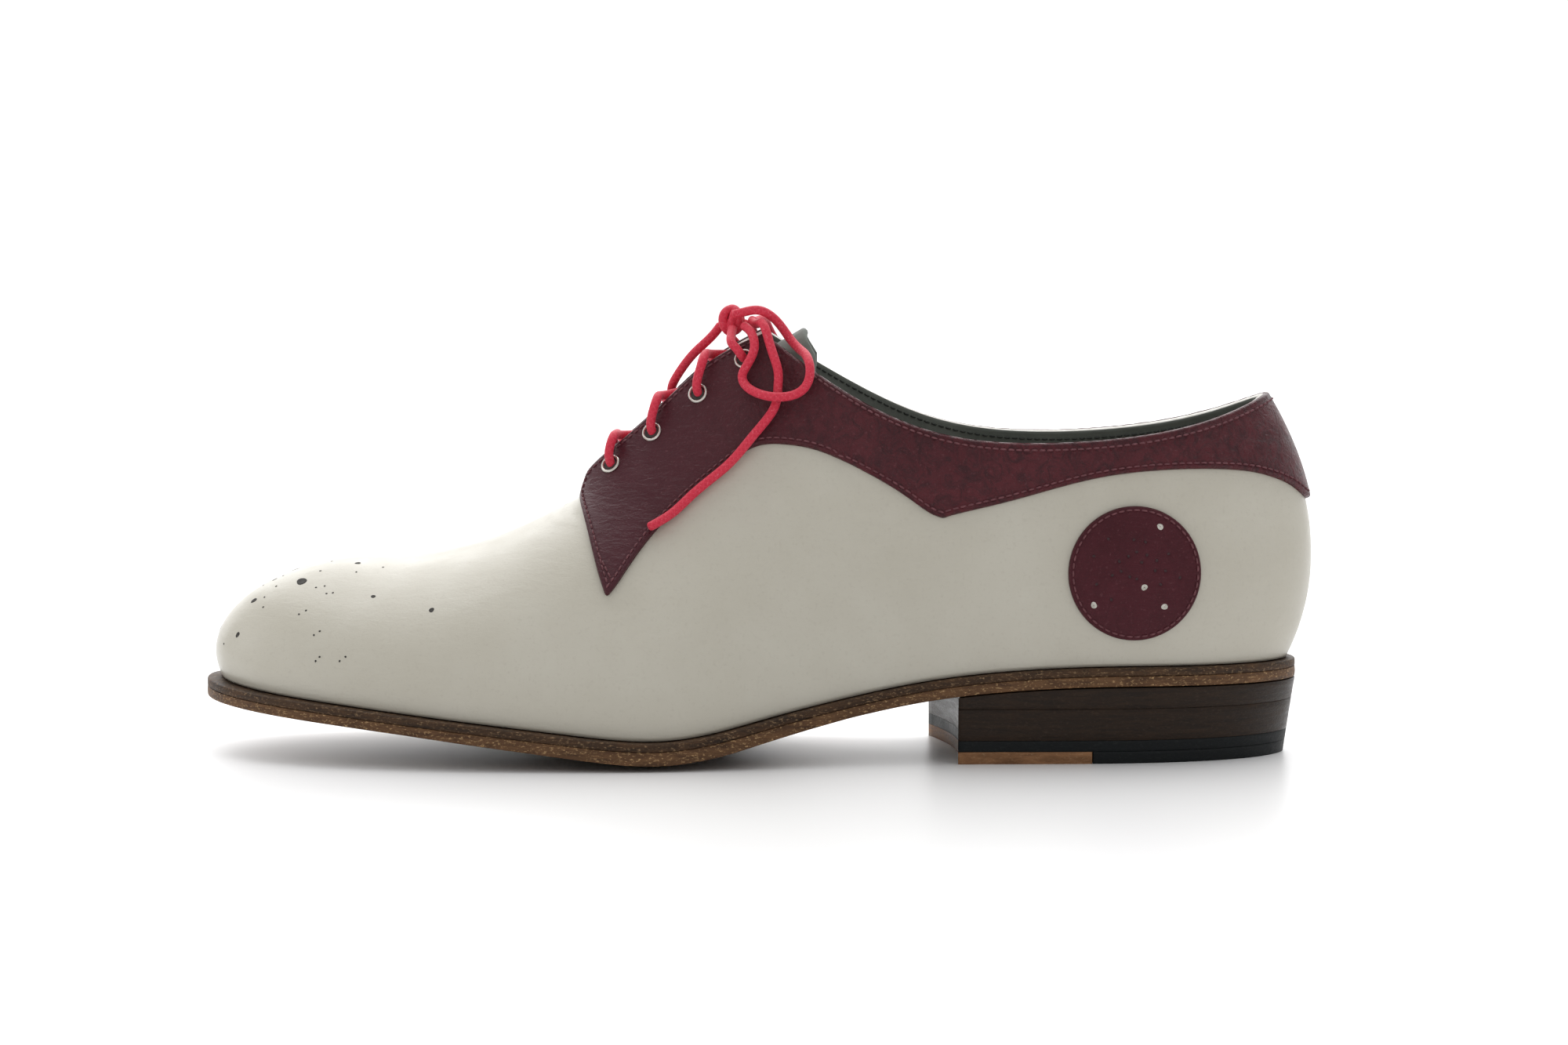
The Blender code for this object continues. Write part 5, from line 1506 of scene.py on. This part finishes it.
# %% Plates round the feather line
WELT_OUT_FRONT = 0.0042
WELT_OUT_BACK = 0.0024
SOLE_TOE = 0.0024
SOLE_BACK = 0.0026
CAMBER = 0.0029
EDGE_ROUNDING = 0.0003
CORNER = np.linspace(0, np.pi / 2, 5)


def sole_spread(row):
    """Distance that welt and sole stand out from the feather line."""
    return np.interp(row, (BALL_ROW - 0.5, BALL_ROW + 2.5), (WELT_OUT_FRONT, WELT_OUT_BACK))


def sole_thickness(row):
    """Thin at the toe, full at the ball and thin again behind it."""
    return np.interp(row, (BALL_ROW - 2.5, BALL_ROW - 0.3, BALL_ROW + 0.5, BALL_ROW + 2),
                     (SOLE_TOE, SOLE_BALL, SOLE_BALL, SOLE_BACK))


def loop_places(step):
    """Places round the closed feather line, an even step of length apart, the same on both sides."""
    fine = np.linspace(0, LAST_ROW, 2000)
    length = line_length(feather(fine)[0])
    half = np.interp(np.linspace(0, length[-1], round(length[-1] / step) + 1), length, fine)
    return np.concatenate([half, LOOP_LENGTH - half[-2:0:-1]])


def across(places, spread, share):
    """Point at a share of the way across the last, hollowed by the camber of the forepart."""
    near, far = feather(places, spread)[0], feather(LOOP_LENGTH - places, spread)[0]
    row = np.minimum(places, LOOP_LENGTH - places)
    width = np.linalg.norm(far - near, axis=1)
    hollow = CAMBER * np.clip((CORNER_ROW - row) / 2, 0, 1) * np.clip(width / BALL_WIDTH * 1.2, 0, 1)
    point = near * (1 - share) + far * share
    point[:, 2] -= hollow * 4 * share * (1 - share)
    return point


def dropped(points, amount):
    """Points lowered by an amount."""
    points = points.copy()
    points[:, 2] -= amount
    return points


def corner_lines(places, spread, radius, drop, way=1):
    """Quarter round: out by the sine of the angle, down by one less its cosine, times the radius."""
    return [dropped(feather(places, spread - radius * (1 - math.sin(angle)))[0],
                    drop + way * radius * (1 - math.cos(angle))) for angle in CORNER]


print(f"sole stands out by {sole_spread(0) / MM:.1f} mm at the toe")

# %% Outsole
def plate(name, drop, thick, spread, places, look, stands_for):
    """Section over the top, round the edge and back underneath, carried round the loop."""
    radius = EDGE_ROUNDING
    shares = (0.5, 0.38, 0.26, 0.15, 0.06)
    lines = [dropped(across(places, spread - radius, share), drop) for share in shares]
    lines += corner_lines(places, spread, radius, drop)
    lines.append(dropped(feather(places, spread + 0.00008)[0], drop + thick / 2))
    lines += corner_lines(places, spread, radius, drop + thick, -1)[::-1]
    lines += [dropped(across(places, spread - radius, share), drop + thick) for share in shares[::-1]]
    net = np.stack(lines, axis=1)
    net[..., 2] = np.maximum(net[..., 2], 0)
    return make_piece(name, net, quads(*net.shape[:2], loop=True), look, stands_for)


places = loop_places(0.0016)
row = np.minimum(places, LOOP_LENGTH - places)
plate("outsole_leather", LAYERS_UNDER - 0.00025, sole_thickness(row) + 0.00020, sole_spread(row), places,
      SOLE_LOOK, ["outsole"])


# %% Welt
def make_welt():
    """Closed section of a flat strip with a rounded outer edge, from under the upper outward."""
    spread = sole_spread(row)
    radius = 0.0006
    lines = [dropped(feather(places, -WALL)[0], GAP), dropped(feather(places, 0.2 * spread)[0], GAP)]
    lines += corner_lines(places, spread, radius, GAP)
    for out, down in ((spread, WELT - 0.0002), (spread - 0.0003, WELT), (-WALL, WELT)):
        lines.append(dropped(feather(places, out)[0], GAP + down))
    net = np.stack(lines + lines[:1], axis=1)
    return make_piece("welt_strip", net, quads(*net.shape[:2], loop=True), WELT_LOOK, ["welt"])


make_welt()

# %% [markdown]
# ## The heel
# A heel is stacked from layers with the same outline: a D whose straight side, the breast, is a little
# hollow. The outline tapers towards the floor, so each layer is drawn twice, above and below.

# %% Outline of the heel
BREAST_SHARE = 0.688
BREAST_SKEW = 0.0060
BREAST_CURVE = 0.0035
TOP_PIECE = 0.0033
BLACK_LIFT = 0.0027
LOWER_LIFT = 0.0083
LEATHER_SHARE = 0.811
HEEL_TAPER_SIDE = 0.0012
HEEL_TAPER_BACK = 0.0032
SOLE_BOTTOM = HEEL_RISE + BALL_HEIGHT - LAYERS_UNDER - SOLE_BACK
HEEL_POINTS = 70
PRESSED = 0.00026  # how far a layer reaches into the room below it


def row_at(share):
    """Row at a share of the last's length, by a straight mix."""
    return float(np.interp(share, column(FEATHER, FEATHER_COLUMNS, "share"), np.arange(LAST_ROW + 1)))


def heel_outline(front, back, level, inset):
    """Once round a layer: outer side to the back, inner side forward, then the curved breast."""
    skew = BREAST_SKEW / LAST_LENGTH
    outer = np.linspace(row_at(front), row_at(back), HEEL_POINTS)
    inner = np.linspace(row_at(front - skew), row_at(back - skew if back < 1 else back), HEEL_POINTS)
    height = SOLE_BOTTOM if level is None else level
    taper = np.interp(outer, (11, LAST_ROW), (HEEL_TAPER_SIDE, HEEL_TAPER_BACK))
    spread = sole_spread(outer) - taper * (1 - height / SOLE_BOTTOM) - inset
    near, far = feather(outer, spread)[0], feather(LOOP_LENGTH - inner, spread)[0]
    drop = (LAYERS_UNDER + sole_thickness(outer) + GAP)[:, None] * (0, 0, 1)
    near, far = near - drop, far - drop
    share = np.linspace(0, 1, 24)[1:-1, None]
    bow = 4 * share * (1 - share)
    breast = far[0] * (1 - share) + near[0] * share + (BREAST_CURVE * bow + inset) * (1, 0, 0)
    lines = [near, far[::-1] if back < 1 else far[-2::-1], breast]
    if back < 1:
        close = near[-1] * (1 - share) + far[-1] * share + (BREAST_CURVE * bow - inset) * (1, 0, 0)
        lines.insert(1, close)
    line = np.concatenate(lines)
    if level is not None:
        line[:, 2] = level
    return line


print("heel starts at row", round(row_at(BREAST_SHARE), 2))

# %% Heel layers
def heel_layer(name, front, back, above, below, look, corner=0.00008):
    """Rings down the side with a small corner above and below, closed by one face on each end."""
    top = heel_outline(front, back, above, 0.0)
    bottom = heel_outline(front, back, below, 0.0)
    share = np.linspace(0, 1, 5)[:, None, None]
    side = top[None] * (1 - share) + bottom[None] * share
    side[0, :, 2] -= corner
    side[-1, :, 2] += corner
    ends = [heel_outline(front, back, level, corner)[None] for level in (above, below)]
    net = np.concatenate([ends[0], side, ends[1]])
    count = net.shape[1]
    net = np.concatenate([net, net[:, :1]], axis=1)
    faces = quads(net.shape[0], count + 1)
    caps = [list(range(count)), [(net.shape[0] - 1) * (count + 1) + place for place in range(count)][::-1]]
    return make_piece("heel_" + name, net, faces, look, [name], caps=caps)


black = TOP_PIECE + GAP
lower = black + BLACK_LIFT + GAP
upper = lower + LOWER_LIFT + GAP
heel_layer("heel_lift_upper", BREAST_SHARE, 1, None, upper - PRESSED, STACK_LOOK)
heel_layer("heel_lift_lower", BREAST_SHARE, 1, upper - GAP, lower - PRESSED, STACK_LOOK)
heel_layer("heel_lift_black", BREAST_SHARE, 1, lower - GAP, black - PRESSED, RUBBER_LOOK)
heel_layer("top_piece_leather", BREAST_SHARE, LEATHER_SHARE, TOP_PIECE, 0.0, TAN_LOOK)
heel_layer("top_piece_rubber", LEATHER_SHARE + GAP / LAST_LENGTH, 1, TOP_PIECE, 0.0, RUBBER_LOOK)

# %% [markdown]
# ## The insole
# Only a dark strip of the insole can be seen from above. Its solid is good enough, so it stays as it is
# and gets a finish of its own.

# %% Insole keeps its solid
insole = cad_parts["insole"]
insole.data.materials.clear()
insole.data.materials.append(INSOLE)
print("insole wears", INSOLE.name)

# %% [markdown]
# ## Floor and light
# The shoe stands on a plain pale floor in even light, as in a product photograph: a white world, a very
# wide high sun and one large soft light, both from behind, and a weak one at the toe.

# %% Floor and room
def make_floor():
    """Square far wider than the view."""
    look = new_look("pale_floor", Base_Color=(0.91, 0.91, 0.915, 1), Roughness=0.35)
    mesh = bpy.data.meshes.new("floor")
    mesh.from_pydata([(-30, -30, 0), (30, -30, 0), (30, 30, 0), (-30, 30, 0)], [], [(0, 1, 2, 3)])
    mesh.materials.append(look)
    floor = bpy.data.objects.new("floor", mesh)
    bpy.context.scene.collection.objects.link(floor)


def make_world(light, seen):
    """White room: it lights with one strength and is seen as paper white behind the shoe."""
    world = bpy.data.worlds.new("white_room")
    world.use_nodes = True
    tree = world.node_tree
    back = tree.nodes["Background"]
    back.inputs["Color"].default_value = (1, 1, 1, 1)
    path = tree.nodes.new("ShaderNodeLightPath")
    strength = tree.nodes.new("ShaderNodeMapRange")
    strength.inputs["To Min"].default_value = light
    strength.inputs["To Max"].default_value = seen
    tree.links.new(path.outputs["Is Camera Ray"], strength.inputs["Value"])
    tree.links.new(strength.outputs[0], back.inputs["Strength"])
    bpy.context.scene.world = world


make_floor()
make_world(0.66, 1.15)
print("floor and", bpy.context.scene.world.name)


# %% Lights
def soft_light(name, place, target, size, power):
    """Rectangle of light that faces its target."""
    data = bpy.data.lights.new(name, "AREA")
    data.shape = "RECTANGLE"
    data.size, data.size_y = size
    data.energy = power
    light = bpy.data.objects.new(name, data)
    light.location = place
    away = Vector(place) - Vector(target)
    light.rotation_euler = away.to_track_quat("Z", "Y").to_euler()
    light.visible_camera = False
    bpy.context.scene.collection.objects.link(light)


def high_sun(strength):
    """Very wide sun from above, leaned so that it comes from behind."""
    data = bpy.data.lights.new("high_window", "SUN")
    data.energy = strength
    data.angle = math.radians(70)
    light = bpy.data.objects.new("high_window", data)
    light.rotation_euler = (math.radians(-32), 0, 0)
    bpy.context.scene.collection.objects.link(light)


high_sun(2.15)
soft_light("behind", (0, 2.6, 0.9), (0, 0, 0.1), (5.0, 1.6), 30)
soft_light("left", (-1.8, 0.2, 0.8), (0, 0, 0.05), (1.0, 1.2), 3)
bpy.context.scene.view_settings.view_transform = "Standard"
print("lights:", *(light.name for light in bpy.data.lights))
